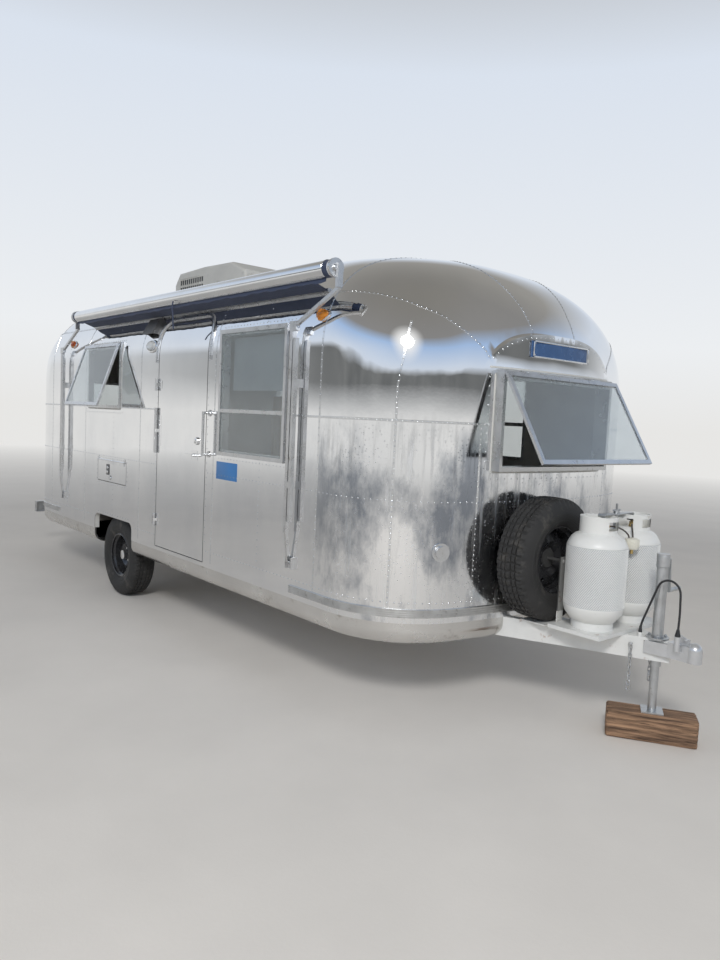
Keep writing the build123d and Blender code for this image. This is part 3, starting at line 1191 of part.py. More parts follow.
# Electric cable arching over the tongue beside the jack, from a gland to a plug holder
CABLE_R = 5.5
GLAND_XY = (-70.0, -50.0)
SOCKET_XY = (134.0, -56.0)
GLAND_TOP = TONGUE_TOP + 28.0
SOCKET_TOP = TONGUE_TOP + 54.0
ARCH_R = 62.0
ARCH_X = 72.0
ARCH_Z = TONGUE_TOP + 266.0
cable = [
    (GLAND_XY[0], GLAND_XY[1], GLAND_TOP),
    (GLAND_XY[0], GLAND_XY[1], GLAND_TOP + 26.0),
    (-62.0, -51.0, TONGUE_TOP + 88.0),
    (-47.4, -52.6, TONGUE_TOP + 125.3),
    (-30.4, -54.6, TONGUE_TOP + 170.2),
    (-12.6, -56.4, TONGUE_TOP + 216.9),
    (1.1, -57.5, TONGUE_TOP + 253.4),
]
for k in range(10):
    ang = math.radians(162.0 - 18.0 * k)
    cable.append((ARCH_X + ARCH_R * math.cos(ang), -58.0, ARCH_Z + ARCH_R * math.sin(ang)))
cable += [
    (135.0, -57.5, ARCH_Z - 36.0),
    (137.0, -57.0, ARCH_Z - 88.0),
    (136.0, -56.5, ARCH_Z - 140.0),
    (SOCKET_XY[0], SOCKET_XY[1], SOCKET_TOP + 38.0),
    (SOCKET_XY[0], SOCKET_XY[1], SOCKET_TOP),
]
parts["umbilical_cable"] = tube_along(cable, CABLE_R)
print("cable points", [(round(x / 1000, 4), round(y / 1000, 4), round(z / 1000, 4)) for x, y, z in cable])
gland = Pos(GLAND_XY[0], GLAND_XY[1], TONGUE_TOP + 5)
gland = gland * upright(11.0, GLAND_TOP - TONGUE_TOP - 5)
parts["tongue_frame"] = parts["tongue_frame"] + gland
holder = Pos(SOCKET_XY[0], SOCKET_XY[1], TONGUE_TOP - 20)
holder = holder * upright(15.0, SOCKET_TOP - TONGUE_TOP + 20)
holder = holder + box(118, 150, SOCKET_XY[1], -30, TONGUE_TOP - 30, TONGUE_TOP - 20)
parts["coupler"] = (parts["coupler"] + holder).solids().sort_by(SortBy.VOLUME)[-1]

# Inside: front seat, galley and wardrobe, rear bed, each open below
INNER = prism(FLOOR_TOP, BELT_Z + 200, WALL + 6.0)
INNER_PANEL = prism(FLOOR_TOP - 5, BELT_Z + 200, WALL + 6.0 + 18.0)
PANEL = 18.0


def cabinet(x0, x1, y0, y1, top):
    """Cupboard of panels inside the body, open at the floor."""
    outside = box(x0, x1, y0, y1, FLOOR_TOP, top) & INNER
    inside = box(x0 + PANEL, x1 - PANEL, y0 + PANEL, y1 - PANEL, FLOOR_TOP - 5, top - PANEL) & INNER_PANEL
    return outside - inside


seat_base = cabinet(NOSE_X - 800, NOSE_X - 60, -1090, 1090, 870)
cushion = box(NOSE_X - 806, NOSE_X - 60, -1090, 1090, 870, 1000) & INNER
back = box(NOSE_X - 190, NOSE_X - 60, -1090, 1090, 1000, 1290) & INNER
parts["front_sofa"] = seat_base + cushion + back
galley = cabinet(-3940 - PANEL, -2700, 600, HALF_WIDTH, 1500)
wardrobe = cabinet(-4480, -3940, 560, HALF_WIDTH, 1780)
pad = LINER_T + 2.0
tub_pad = box(WELL_X0 - pad, WELL_X1 + pad, WELL_INNER_Y - pad, HALF_WIDTH, 0, LINER_TOP + 2)
parts["cabinets"] = galley + wardrobe - tub_pad
bed_base = cabinet(TAIL_X, TAIL_X + 1350, -1100, 1100, 960)
mattress = box(TAIL_X, TAIL_X + 1356, -1100, 1100, 960, 1120) & INNER
parts["rear_bed"] = bed_base + mattress

os.makedirs("parts", exist_ok=True)
for name, shape in parts.items():
    export_step(shape, "parts/" + name + ".step")
print(len(parts), "nodes", "roof top", round(ROOF_TOP, 2))
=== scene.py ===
import math
import random

import bmesh
import bpy
from mathutils import Matrix, Vector, geometry, noise


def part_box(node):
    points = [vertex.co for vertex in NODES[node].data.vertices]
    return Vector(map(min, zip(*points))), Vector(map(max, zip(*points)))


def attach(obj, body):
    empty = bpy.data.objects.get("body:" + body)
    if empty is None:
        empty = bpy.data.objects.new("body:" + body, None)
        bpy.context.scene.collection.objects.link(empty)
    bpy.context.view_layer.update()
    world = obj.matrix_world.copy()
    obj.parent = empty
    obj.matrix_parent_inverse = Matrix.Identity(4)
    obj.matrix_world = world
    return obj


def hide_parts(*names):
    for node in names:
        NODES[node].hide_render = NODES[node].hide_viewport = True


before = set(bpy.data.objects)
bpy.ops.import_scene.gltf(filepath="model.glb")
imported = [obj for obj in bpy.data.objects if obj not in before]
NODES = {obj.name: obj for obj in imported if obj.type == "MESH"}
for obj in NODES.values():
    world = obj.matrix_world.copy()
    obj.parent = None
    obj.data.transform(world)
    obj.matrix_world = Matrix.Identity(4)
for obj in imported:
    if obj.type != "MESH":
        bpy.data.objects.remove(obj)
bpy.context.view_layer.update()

bl_info = {
    "name": "Travel caravan looks",
    "version": (1, 0, 0),
    "blender": (4, 5, 0),
    "location": "View3D > Sidebar > Caravan",
    "description": "Skins, seams, materials and small parts of a riveted aluminium travel caravan",
    "category": "Object",
}

# Body surface, in metres, with the same values as the solids
HALF_WIDTH = 1.150
NOSE_X = -0.700
TAIL_X = -6.550
SKIN_BOTTOM = 0.530
BELT_Z = 1.600
ROOF_SEAM_Z = 2.300
SIDE_ARC = 0.620
END_ARC = 0.760
SIDE_ARC_Z = 1.975
SHOULDER = math.radians(82.0)
CORNER_R = 0.550
CORNER_GROWTH = 0.100
BOW_R = 3.000
NOSE_POLE = -1.460
TAIL_POLE = -5.790
S82 = math.sin(SHOULDER)
C82 = math.cos(SHOULDER)
END_ARC_Z = SIDE_ARC_Z + (SIDE_ARC - END_ARC) * S82
SHOULDER_HALF = HALF_WIDTH - SIDE_ARC * (1 - C82)
SHOULDER_Z = SIDE_ARC_Z + SIDE_ARC * S82
CROWN_R = SHOULDER_HALF / C82
CROWN_Z0 = SHOULDER_Z - CROWN_R * S82
ROOF_TOP = CROWN_Z0 + CROWN_R
MIDDLE_X = (NOSE_X + TAIL_X) / 2
MIDDLE_Z = 1.45
BROW_HALF = 0.650
BROW_BASE = 1.600
BROW_LOW = 1.899
BROW_TOP = 2.118
BROW_POWER = 2.8
AXLE_X = -4.286
TRACK = 1.000
TYRE_R = 0.342
TANK_X = -0.285
TANK_Y = 0.165
DECK_TOP = 0.550
BLOCK_TURN = math.radians(32.5)
HALF_PI = math.pi / 2


def grown(box, more):
    """A rectangle (x0, x1, z0, z1) made larger by the same amount on every side."""
    x0, x1, z0, z1 = box
    return x0 - more, x1 + more, z0 - more, z1 + more


def evenly(a, b, n):
    """Numbers from a to b in n equal steps."""
    return [a + (b - a) * k / n for k in range(n + 1)]


def circle(n):
    """Unit circle as n (cosine, sine) pairs."""
    return [(math.cos(2 * math.pi * k / n), math.sin(2 * math.pi * k / n)) for k in range(n)]


def turned(spot, degrees, axis):
    """Matrix that turns about an axis and then moves to a spot."""
    return Matrix.Translation(spot) @ Matrix.Rotation(math.radians(degrees), 4, axis)


def quads(rows, cols, wrap=False, closed=False, flip=False):
    """Faces of a grid of points, row by row. wrap joins the ends of each row, closed the last row to the first."""
    faces = []
    for i in range(rows if closed else rows - 1):
        a = i * cols
        b = (i + 1) % rows * cols
        for j in range(cols if wrap else cols - 1):
            k = (j + 1) % cols
            faces.append((a + j, b + j, b + k, a + k) if flip else (a + j, a + k, b + k, b + j))
    return faces


def half_width(z):
    """Half width of the body at a height."""
    if z <= SIDE_ARC_Z:
        return HALF_WIDTH
    if z <= SHOULDER_Z:
        return HALF_WIDTH - SIDE_ARC + math.sqrt(SIDE_ARC ** 2 - (z - SIDE_ARC_Z) ** 2)
    return math.sqrt(max(0.0, CROWN_R ** 2 - (z - CROWN_Z0) ** 2))


def end_inset(z):
    """How far the end face lies behind the nose at a height."""
    if z <= END_ARC_Z:
        return 0.0
    if z <= SHOULDER_Z:
        return END_ARC - math.sqrt(max(0.0, END_ARC ** 2 - (z - END_ARC_Z) ** 2))
    return END_ARC * (1 - C82) + SHOULDER_HALF - half_width(z)


def plan(z, inset=0.0):
    """Front half of the plan outline: half width, nose x, corner radius and centres."""
    w = half_width(z) - inset
    nose = NOSE_X - end_inset(z) - inset
    share = min(1.0, max(0.0, (z - END_ARC_Z) / (SHOULDER_Z - END_ARC_Z)))
    rc = max(0.004, min(CORNER_R + CORNER_GROWTH * share - inset, w - 0.025))
    bow = BOW_R - inset
    yc = w - rc
    run = math.sqrt(max(1e-9, (bow - rc) ** 2 - yc ** 2))
    return w, nose, rc, yc, nose - bow + run, bow, math.atan2(yc, run)


def end_radius(phi, z):
    """Distance from the nose's pole to the outline in the direction phi from straight ahead."""
    w, nose, rc, yc, xc, bow, a = plan(z)
    c = math.cos(phi)
    s = abs(math.sin(phi))
    if s > 1e-6:
        t = w / s
        if NOSE_POLE + t * c <= xc:
            return t
    ox = NOSE_POLE - (nose - bow)
    b = ox * c
    t = -b + math.sqrt(max(0.0, b * b - ox * ox + bow * bow))
    if math.atan2(t * s, ox + t * c) <= a:
        return t
    ox = NOSE_POLE - xc
    b = ox * c - yc * s
    return -b + math.sqrt(max(0.0, b * b - ox * ox - yc * yc + rc * rc))


def side_y(x, z):
    """Half width of the body at a place along it and a height, corners included."""
    if x < MIDDLE_X:
        x = 2 * MIDDLE_X - x
    w, nose, rc, yc, xc, bow, a = plan(z)
    if x <= xc:
        return w
    if x <= xc + rc * math.cos(a):
        return yc + math.sqrt(max(0.0, rc ** 2 - (x - xc) ** 2))
    if x >= nose:
        return 0.0
    return math.sqrt(max(0.0, bow ** 2 - (x - nose + bow) ** 2))


def front_x(y, z, inset=0.0):
    """Place of the end face along the body at a distance from the middle."""
    w, nose, rc, yc, xc, bow, a = plan(z, inset)
    y = abs(y)
    if y <= bow * math.sin(a):
        return nose - bow + math.sqrt(bow ** 2 - y * y)
    return xc + math.sqrt(max(0.0, rc ** 2 - (min(y, w) - yc) ** 2))


def pole_height():
    """Height at which the end's outline shrinks to the pole."""
    lo = SHOULDER_Z
    hi = ROOF_TOP
    for _ in range(40):
        mid = (lo + hi) / 2
        if NOSE_X - end_inset(mid) > NOSE_POLE:
            lo = mid
        else:
            hi = mid
    return lo


POLE_Z = pole_height()


def arc_table(points):
    """Lengths along a line of (radius, height) points."""
    out = [0.0]
    for p, q in zip(points, points[1:]):
        out.append(out[-1] + math.hypot(q[0] - p[0], q[1] - p[1]))
    return out


def spread(z0, z1, power, n=400):
    """Heights from z0 to z1, closer together towards z1."""
    return [z0 + (z1 - z0) * (1 - (1 - k / n) ** power) for k in range(n + 1)]


END_Z = spread(SKIN_BOTTOM, POLE_Z, 2.0)
END_S = arc_table([(end_radius(0.0, z), z) for z in END_Z])
ROOF_Z = spread(ROOF_SEAM_Z, ROOF_TOP, 2.0)
ROOF_S = arc_table([(half_width(z), z) for z in ROOF_Z])
SIDE_Z = spread(SKIN_BOTTOM, ROOF_SEAM_Z + 0.02, 1.0)
SIDE_S = arc_table([(half_width(z), z) for z in SIDE_Z])


def lookup(xs, ys, x):
    """Value at x of the line through the points (xs, ys)."""
    lo = 0
    hi = len(xs) - 1
    while hi - lo > 1:
        mid = (lo + hi) // 2
        if xs[mid] <= x:
            lo = mid
        else:
            hi = mid
    f = (x - xs[lo]) / (xs[hi] - xs[lo])
    return ys[lo] + (ys[hi] - ys[lo]) * f


def brow_share(y, z):
    """1 inside the arched panel over the front window, 0 outside, with a narrow edge."""
    if z < BROW_BASE:
        r = abs(y) / (BROW_HALF + 0.010)
    else:
        r = (abs(y) / BROW_HALF) ** BROW_POWER + ((z - BROW_BASE) / (BROW_TOP - BROW_BASE)) ** BROW_POWER
        r = r ** (1 / BROW_POWER)
    return min(1.0, max(0.0, (1.012 - r) / 0.010))


def wave(p):
    """Gentle waviness of thin sheet, in metres: a long swell and a short ripple."""
    swell = Vector([c * 2.1 for c in p])
    ripple = Vector([c * 7.3 for c in p])
    return 0.0011 * noise.noise(swell) + 0.00022 * noise.noise(ripple)


def on_side(sign):
    """Map from (x, length up the side) to the side's surface."""
    def place(u, v):
        """Point of the side."""
        z = lookup(SIDE_S, SIDE_Z, v)
        return Vector((u, sign * side_y(u, z), z))
    return place


def on_end(front):
    """Map from (angle, length up the middle) to an end's surface."""
    def place(u, v):
        """Point of the end."""
        z = lookup(END_S, END_Z, v)
        r = end_radius(u, z)
        p = Vector((NOSE_POLE + r * math.cos(u), r * math.sin(u), z))
        if front:
            share = brow_share(p.y, z)
            if share > 0 and z > END_ARC_Z:
                level = max(p.x, front_x(p.y, BROW_LOW, 0.005))
                p.x += (level - p.x) * share
            return p
        return Vector((2 * MIDDLE_X - p.x, -p.y, z))
    return place


def roof_top_z(x):
    """Height of the roof's ridge along the body."""
    if x < MIDDLE_X:
        x = 2 * MIDDLE_X - x
    if x <= NOSE_X - end_inset(ROOF_TOP):
        return ROOF_TOP
    lo = SHOULDER_Z
    hi = ROOF_TOP
    for _ in range(30):
        mid = (lo + hi) / 2
        if NOSE_X - end_inset(mid) > x:
            lo = mid
        else:
            hi = mid
    return lo


def on_roof(u, v):
    """Map from (x, length from the ridge) to the roof."""
    top = roof_top_z(u)
    z = lookup(ROOF_S, ROOF_Z, max(0.0, ROOF_S[-1] - abs(v)))
    z = ROOF_SEAM_Z + (z - ROOF_SEAM_Z) * (top - ROOF_SEAM_Z) / (ROOF_TOP - ROOF_SEAM_Z)
    return Vector((u, math.copysign(side_y(u, min(z, top)), v), z))


def side_v(z):
    """Length up the side at a height."""
    return lookup(SIDE_Z, SIDE_S, z)


def end_v(z):
    """Length up the middle of an end at a height."""
    return lookup(END_Z, END_S, z)


def end_u(y, z):
    """Angle about the pole of a point of the end face."""
    return math.atan2(y, front_x(y, z) - NOSE_POLE)


def up_side(loop):
    """Points (x, z) of a side as the side map's parameters."""
    return [(x, side_v(z)) for x, z in loop]


def up_end(loop):
    """Points (y, z) of an end as the end map's parameters."""
    return [(end_u(y, z), end_v(z)) for y, z in loop]


def rounded(x0, x1, z0, z1, r, step=0.03, lower=None):
    """Loop of points round a rectangle with rounded corners; lower is the lower corners' radius."""
    low = r if lower is None else lower
    corners = (
        (x1 - r, z1 - r, r, 0), (x0 + r, z1 - r, r, 90),
        (x0 + low, z0 + low, low, 180), (x1 - low, z0 + low, low, 270),
    )
    loop = []
    for cx, cz, radius, start in corners:
        if radius < 0.002:
            loop.append((x1 if start in (0, 270) else x0, z1 if start in (0, 90) else z0))
            continue
        for k in range(7):
            a = math.radians(start + 90.0 * k / 6)
            loop.append((cx + radius * math.cos(a), cz + radius * math.sin(a)))
    out = []
    for p, q in zip(loop, loop[1:] + loop[:1]):
        n = max(1, round(math.dist(p, q) / step))
        out += [(p[0] + (q[0] - p[0]) * k / n, p[1] + (q[1] - p[1]) * k / n) for k in range(n)]
    return out


def inside(loop, p):
    """True if p lies inside the closed loop."""
    hit = False
    j = len(loop) - 1
    for i in range(len(loop)):
        a = loop[i]
        b = loop[j]
        if (a[1] > p[1]) != (b[1] > p[1]) and p[0] < (b[0] - a[0]) * (p[1] - a[1]) / (b[1] - a[1]) + a[0]:
            hit = not hit
        j = i
    return hit


def patch(outer, holes, creases, step):
    """Triangles of a flat region with holes: (points, triangles)."""
    pts = []
    edges = []
    for loop, closed in [(outer, True)] + [(h, True) for h in holes] + [(c, False) for c in creases]:
        base = len(pts)
        pts += loop
        count = len(loop) if closed else len(loop) - 1
        edges += [(base + k, base + (k + 1) % len(loop)) for k in range(count)]
    lines = [Vector(p) for p in pts]
    cells = {}
    for p in lines:
        cells.setdefault((math.floor(p.x / step), math.floor(p.y / step)), []).append(p)
    u0 = min(p[0] for p in outer)
    u1 = max(p[0] for p in outer)
    v0 = min(p[1] for p in outer)
    v1 = max(p[1] for p in outer)
    nv = int((v1 - v0) / (step * 0.866)) + 1
    for j in range(nv):
        v = v0 + (v1 - v0) * (j + 0.5) / nv
        shift = 0.5 * (j % 2)
        for i in range(int((u1 - u0) / step) + 1):
            p = Vector((u0 + step * (i + shift + 0.25), v))
            if p.x >= u1:
                continue
            ci = math.floor(p.x / step)
            cj = math.floor(p.y / step)
            near = any(
                (q - p).length < step * 0.55
                for a in (-1, 0, 1) for b in (-1, 0, 1)
                for q in cells.get((ci + a, cj + b), ())
            )
            if near or not inside(outer, p) or any(inside(h, p) for h in holes):
                continue
            pts.append((p.x, p.y))
    verts, _, tris = geometry.delaunay_2d_cdt([Vector(p) for p in pts], edges, [], 1, 1e-6)[:3]
    keep = []
    for t in tris:
        c = sum((verts[i] for i in t), Vector((0, 0))) / 3
        if inside(outer, c) and not any(inside(h, c) for h in holes):
            keep.append(tuple(t))
    return [tuple(v) for v in verts], keep


def link(obj, body="caravan", replaces=()):
    """Puts a finished piece in the scene and hangs it on its body."""
    if obj.name not in bpy.context.scene.collection.objects:
        bpy.context.scene.collection.objects.link(obj)
    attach(obj, body)
    if replaces:
        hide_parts(*replaces)
    return obj


class Shape:
    """Collects the faces of one piece."""

    def __init__(self):
        self.verts = []
        self.faces = []
        self.mats = []

    def add(self, verts, faces, mat=0, at=None):
        """Adds faces with one of the piece's materials, moved by a matrix."""
        base = len(self.verts)
        if at is not None:
            verts = [at @ Vector(v) for v in verts]
        self.verts += [tuple(v) for v in verts]
        self.faces += [tuple(base + i for i in f) for f in faces]
        self.mats += [mat] * len(faces)

    def box(self, lo, hi, bevel=0.0, mat=0, at=None):
        """Box between two corners with rounded edges."""
        bm = bmesh.new()
        size = [hi[k] - lo[k] for k in range(3)]
        mid = [(hi[k] + lo[k]) / 2 for k in range(3)]
        bmesh.ops.create_cube(bm, size=1.0, matrix=Matrix.Translation(mid) @ Matrix.Diagonal((*size, 1)))
        if bevel > 0:
            bevel = min(bevel, 0.45 * min(size))
            bmesh.ops.bevel(bm, geom=bm.edges[:], offset=bevel, segments=2, profile=0.5, affect="EDGES")
        bm.verts.index_update()
        self.add([v.co.copy() for v in bm.verts], [[v.index for v in f.verts] for f in bm.faces], mat, at)
        bm.free()

    def lathe(self, profile, n=32, mat=0, at=None, closed=False):
        """Turns (radius, height) points about Z. A point at radius 0 closes the end."""
        verts = []
        rings = []
        for r, z in profile:
            if r < 1e-6:
                rings.append([len(verts)])
                verts.append((0, 0, z))
            else:
                rings.append(list(range(len(verts), len(verts) + n)))
                verts += [(r * x, r * y, z) for x, y in circle(n)]
        faces = []
        for a, b in list(zip(rings, rings[1:])) + ([(rings[-1], rings[0])] if closed else []):
            for k in range(n):
                m = (k + 1) % n
                if len(a) == 1 and len(b) == 1:
                    continue
                if len(a) == 1:
                    faces.append((a[0], b[m], b[k]))
                elif len(b) == 1:
                    faces.append((a[k], a[m], b[0]))
                else:
                    faces.append((a[k], a[m], b[m], b[k]))
        self.add(verts, faces, mat, at)

    def tube(self, pts, r, n=10, mat=0, closed=False):
        """Round bar along points, with one radius or one for each point."""
        pts = [Vector(p) for p in pts]
        count = len(pts)
        verts = []
        side = None
        for k in range(count):
            if closed:
                d = (pts[(k + 1) % count] - pts[k - 1]).normalized()
            else:
                d = (pts[min(k + 1, count - 1)] - pts[max(k - 1, 0)]).normalized()
            if side is None:
                side = d.orthogonal().normalized()
            side = (side - d * side.dot(d)).normalized()
            up = d.cross(side)
            radius = r[k] if isinstance(r, (list, tuple)) else r
            verts += [pts[k] + (side * x + up * y) * radius for x, y in circle(n)]
        faces = quads(count, n, True, closed)
        if not closed:
            faces.append(tuple(reversed(range(n))))
            faces.append(tuple(range((count - 1) * n, count * n)))
        self.add(verts, faces, mat)

    def rivet(self, p, n, r=0.0042, h=0.0016, mat=0):
        """Domed rivet head on a surface point with its normal."""
        n = Vector(n).normalized()
        a = n.orthogonal().normalized()
        b = n.cross(a)
        p = Vector(p)
        verts = []
        for radius, lift in ((r, -0.0003), (r * 0.72, h * 0.72)):
            verts += [p + (a * math.cos(k * math.pi / 3) + b * math.sin(k * math.pi / 3)) * radius + n * lift
                      for k in range(6)]
        verts.append(p + n * h)
        faces = quads(2, 6, True) + [(6 + k, 6 + (k + 1) % 6, 12) for k in range(6)]
        self.add(verts, faces, mat)

    def make(self, name, mats, body="caravan", replaces=(), sharp=35.0):
        """Turns what was collected into a piece of the scene."""
        me = bpy.data.meshes.new(name)
        me.from_pydata(self.verts, [], self.faces)
        for m in mats:
            me.materials.append(m)
        me.polygons.foreach_set("material_index", self.mats)
        me.validate()
        me.shade_smooth()
        me.set_sharp_from_angle(angle=math.radians(sharp))
        me.update()
        return link(bpy.data.objects.new(name, me), body, replaces)


# Materials

class Graph:
    """Nodes of a material or of the world, with a short call for each kind of node."""

    def __init__(self, tree):
        self.nodes = tree.nodes
        self.links = tree.links
        self.shader = tree.nodes.get("Principled BSDF")

    def feed(self, socket, value):
        """Links an output to a socket, or sets the socket to a number or colour."""
        if isinstance(value, bpy.types.NodeSocket):
            self.links.new(value, socket)
        elif isinstance(value, (tuple, list)) and len(socket.default_value) > len(value):
            socket.default_value = (*value, 1)
        else:
            socket.default_value = value

    def set(self, **inputs):
        """Feeds the main shader's inputs, named with underscores for spaces."""
        for name, value in inputs.items():
            self.feed(self.shader.inputs[name.replace("_", " ")], value)

    def spot(self, kind="Object"):
        """The point that is shaded."""
        return self.nodes.new("ShaderNodeTexCoord").outputs[kind]

    def axes(self, vector):
        """X, Y and Z of a vector."""
        node = self.nodes.new("ShaderNodeSeparateXYZ")
        self.links.new(vector, node.inputs["Vector"])
        return node.outputs

    def noise(self, vector, scale, detail=4.0, stretch=None, rough=0.55):
        """Noise, finer along an axis with a larger stretch."""
        if stretch:
            node = self.nodes.new("ShaderNodeMapping")
            node.inputs["Scale"].default_value = stretch
            self.links.new(vector, node.inputs["Vector"])
            vector = node.outputs["Vector"]
        node = self.nodes.new("ShaderNodeTexNoise")
        node.inputs["Scale"].default_value = scale
        node.inputs["Detail"].default_value = detail
        node.inputs["Roughness"].default_value = rough
        self.links.new(vector, node.inputs["Vector"])
        return node.outputs["Fac"]

    def ramp(self, value, *stops):
        """Colour by value, through (place, colour) stops."""
        node = self.nodes.new("ShaderNodeValToRGB")
        marks = node.color_ramp.elements
        for mark, (place, colour) in ((marks[0], stops[0]), (marks[1], stops[-1])):
            mark.position = place
            mark.color = (*colour, 1)
        for place, colour in stops[1:-1]:
            marks.new(place).color = (*colour, 1)
        self.links.new(value, node.inputs["Fac"])
        return node.outputs["Color"]

    def span(self, value, a, b, c=0.0, d=1.0):
        """A value from a..b mapped to c..d, clamped."""
        node = self.nodes.new("ShaderNodeMapRange")
        for name, bound in (("From Min", a), ("From Max", b), ("To Min", c), ("To Max", d)):
            node.inputs[name].default_value = bound
        self.links.new(value, node.inputs["Value"])
        return node.outputs["Result"]

    def blend(self, factor, a, b):
        """Colour a where the factor is 0 and b where it is 1."""
        node = self.nodes.new("ShaderNodeMix")
        node.data_type = "RGBA"
        self.links.new(factor, node.inputs["Factor"])
        self.feed(node.inputs[6], a)
        self.feed(node.inputs[7], b)
        return node.outputs[2]

    def maths(self, operation, a, b):
        """Sum, product and the like of two values."""
        node = self.nodes.new("ShaderNodeMath")
        node.operation = operation
        self.feed(node.inputs[0], a)
        self.feed(node.inputs[1], b)
        return node.outputs[0]

    def times(self, a, b):
        """Product of two values."""
        return self.maths("MULTIPLY", a, b)

    def against(self, operation, vector, other):
        """Distance or dot product of a vector and a constant one."""
        node = self.nodes.new("ShaderNodeVectorMath")
        node.operation = operation
        self.links.new(vector, node.inputs[0])
        node.inputs[1].default_value = other
        return node.outputs["Value"]

    def bump(self, height, strength, distance):
        """Relief in the main shader's normal."""
        node = self.nodes.new("ShaderNodeBump")
        node.inputs["Strength"].default_value = strength
        node.inputs["Distance"].default_value = distance
        self.links.new(height, node.inputs["Height"])
        self.links.new(node.outputs["Normal"], self.shader.inputs["Normal"])


def tree(name):
    """New material and its graph."""
    m = bpy.data.materials.new(name)
    m.use_nodes = True
    return m, Graph(m.node_tree)


def shades(base, vary):
    """A darker and a lighter tone of a colour."""
    return tuple(max(0.0, c * (1 - vary)) for c in base), tuple(min(1.0, c * (1 + vary)) for c in base)


def finish(name, base, metallic=0.0, rough=0.5, vary=0.06, scale=6.0, grain=(60.0, 0.15, 0.0006),
           dirt=None, coat=0.0, rough_vary=0.08):
    """Surface with uneven colour and gloss, a fine grain and patches of dirt or wear."""
    m, g = tree(name)
    spot = g.spot()
    big = g.noise(spot, scale, 5.0)
    lo, hi = shades(base, vary)
    col = g.ramp(big, (0.3, lo), (0.7, hi))
    if dirt:
        colour, amount, size = dirt
        patches = g.noise(spot, size, 8.0, None, 0.7)
        mask = g.span(patches, 0.62 - amount * 0.25, 0.72 - amount * 0.2)
        col = g.blend(mask, col, colour)
    g.set(Base_Color=col, Metallic=metallic,
          Roughness=g.span(big, 0.25, 0.75, max(0.02, rough - rough_vary), rough + rough_vary))
    if coat:
        g.set(Coat_Weight=coat, Coat_Roughness=0.12)
    if grain:
        g.bump(g.noise(spot, grain[0], 3.0), grain[1], grain[2])
    return m


def mirror_metal(name, weather):
    """Polished aluminium sheet: mirror with faint haze, speckles and streaks from weather, and dark blue-grey
    patches low on the front end.
    """
    m, g = tree(name)
    spot = g.spot()
    axes = g.axes(spot)
    col = g.ramp(g.noise(spot, 1.7, 4.0), (0.3, (0.80, 0.81, 0.825)), (0.7, (0.88, 0.885, 0.89)))
    low = g.span(axes["Z"], 1.66, 1.42)
    front = g.span(axes["X"], -1.75, -1.25, 0.25, 1.0)
    place = g.times(low, front)
    streak = g.noise(spot, 9.0, 6.0, (3.2, 3.2, 0.22))
    streaks = g.times(g.span(streak, 0.5, 0.72), place)
    cells = g.nodes.new("ShaderNodeTexVoronoi")
    cells.inputs["Scale"].default_value = 52.0
    g.links.new(spot, cells.inputs["Vector"])
    patchy = g.span(g.noise(spot, 5.0, 6.0), 0.44, 0.60)
    dots = g.times(g.times(g.span(cells.outputs["Distance"], 0.30, 0.16), patchy), place)
    marks = g.times(g.maths("MAXIMUM", g.times(streaks, 0.8), dots), weather)
    col = g.blend(marks, col, (0.88, 0.88, 0.87))
    # Dark blue-grey patches in stretched noise, low on the front end and stronger on the more weathered sheet;
    # they leave the gloss unchanged
    dark_blue_patches = g.span(g.noise(spot, 2.6, 7.0, (1.0, 1.0, 0.5), 0.65), 0.48, 0.62)
    col = g.blend(g.times(g.times(dark_blue_patches, place), 0.8 * weather), col, (0.20, 0.23, 0.28))
    haze = g.span(g.noise(spot, 3.1, 6.0), 0.4, 0.75)
    rough = g.maths("ADD", g.span(haze, 0.0, 1.0, 0.018, 0.055), g.times(place, 0.07 * weather))
    rough = g.maths("ADD", rough, g.times(marks, 0.45))
    g.set(Base_Color=col, Metallic=1.0, Roughness=rough)
    g.bump(g.noise(spot, 38.0, 3.0), 0.05, 0.0006)
    return m


def glass_like(name, colour, rough, transmission, ior=1.45):
    """Glass or a lens with a faint film of dirt."""
    m, g = tree(name)
    film = g.noise(g.spot(), 5.0, 6.0)
    col = g.ramp(film, (0.35, tuple(c * 0.95 for c in colour)), (0.7, colour))
    g.set(Base_Color=col, Roughness=g.span(film, 0.3, 0.8, rough, rough + 0.06),
          Transmission_Weight=transmission, IOR=ior)
    return m


def fabric(name, base, scale, strength, sheen, tone=0.08):
    """Woven cloth: crossed thread waves with uneven dye."""
    m, g = tree(name)
    spot = g.spot()
    waves = []
    for axis in ("X", "Y", "Z"):
        w = g.nodes.new("ShaderNodeTexWave")
        w.bands_direction = axis
        w.inputs["Scale"].default_value = scale / 20.0
        w.inputs["Distortion"].default_value = 0.6
        w.inputs["Detail Scale"].default_value = 2.0
        g.links.new(spot, w.inputs["Vector"])
        waves.append(w.outputs["Fac"])
    weave = g.maths("ADD", g.times(waves[0], waves[1]), waves[2])
    lo, hi = shades(base, tone)
    col = g.ramp(g.noise(spot, 5.0, 5.0), (0.3, lo), (0.7, hi))
    col = g.blend(g.span(weave, 0.0, 2.0, 0.25, 0.0), col, tuple(c * 0.55 for c in base))
    g.set(Base_Color=col, Roughness=0.88, Sheen_Weight=sheen)
    g.bump(weave, strength, 0.0008)
    return m


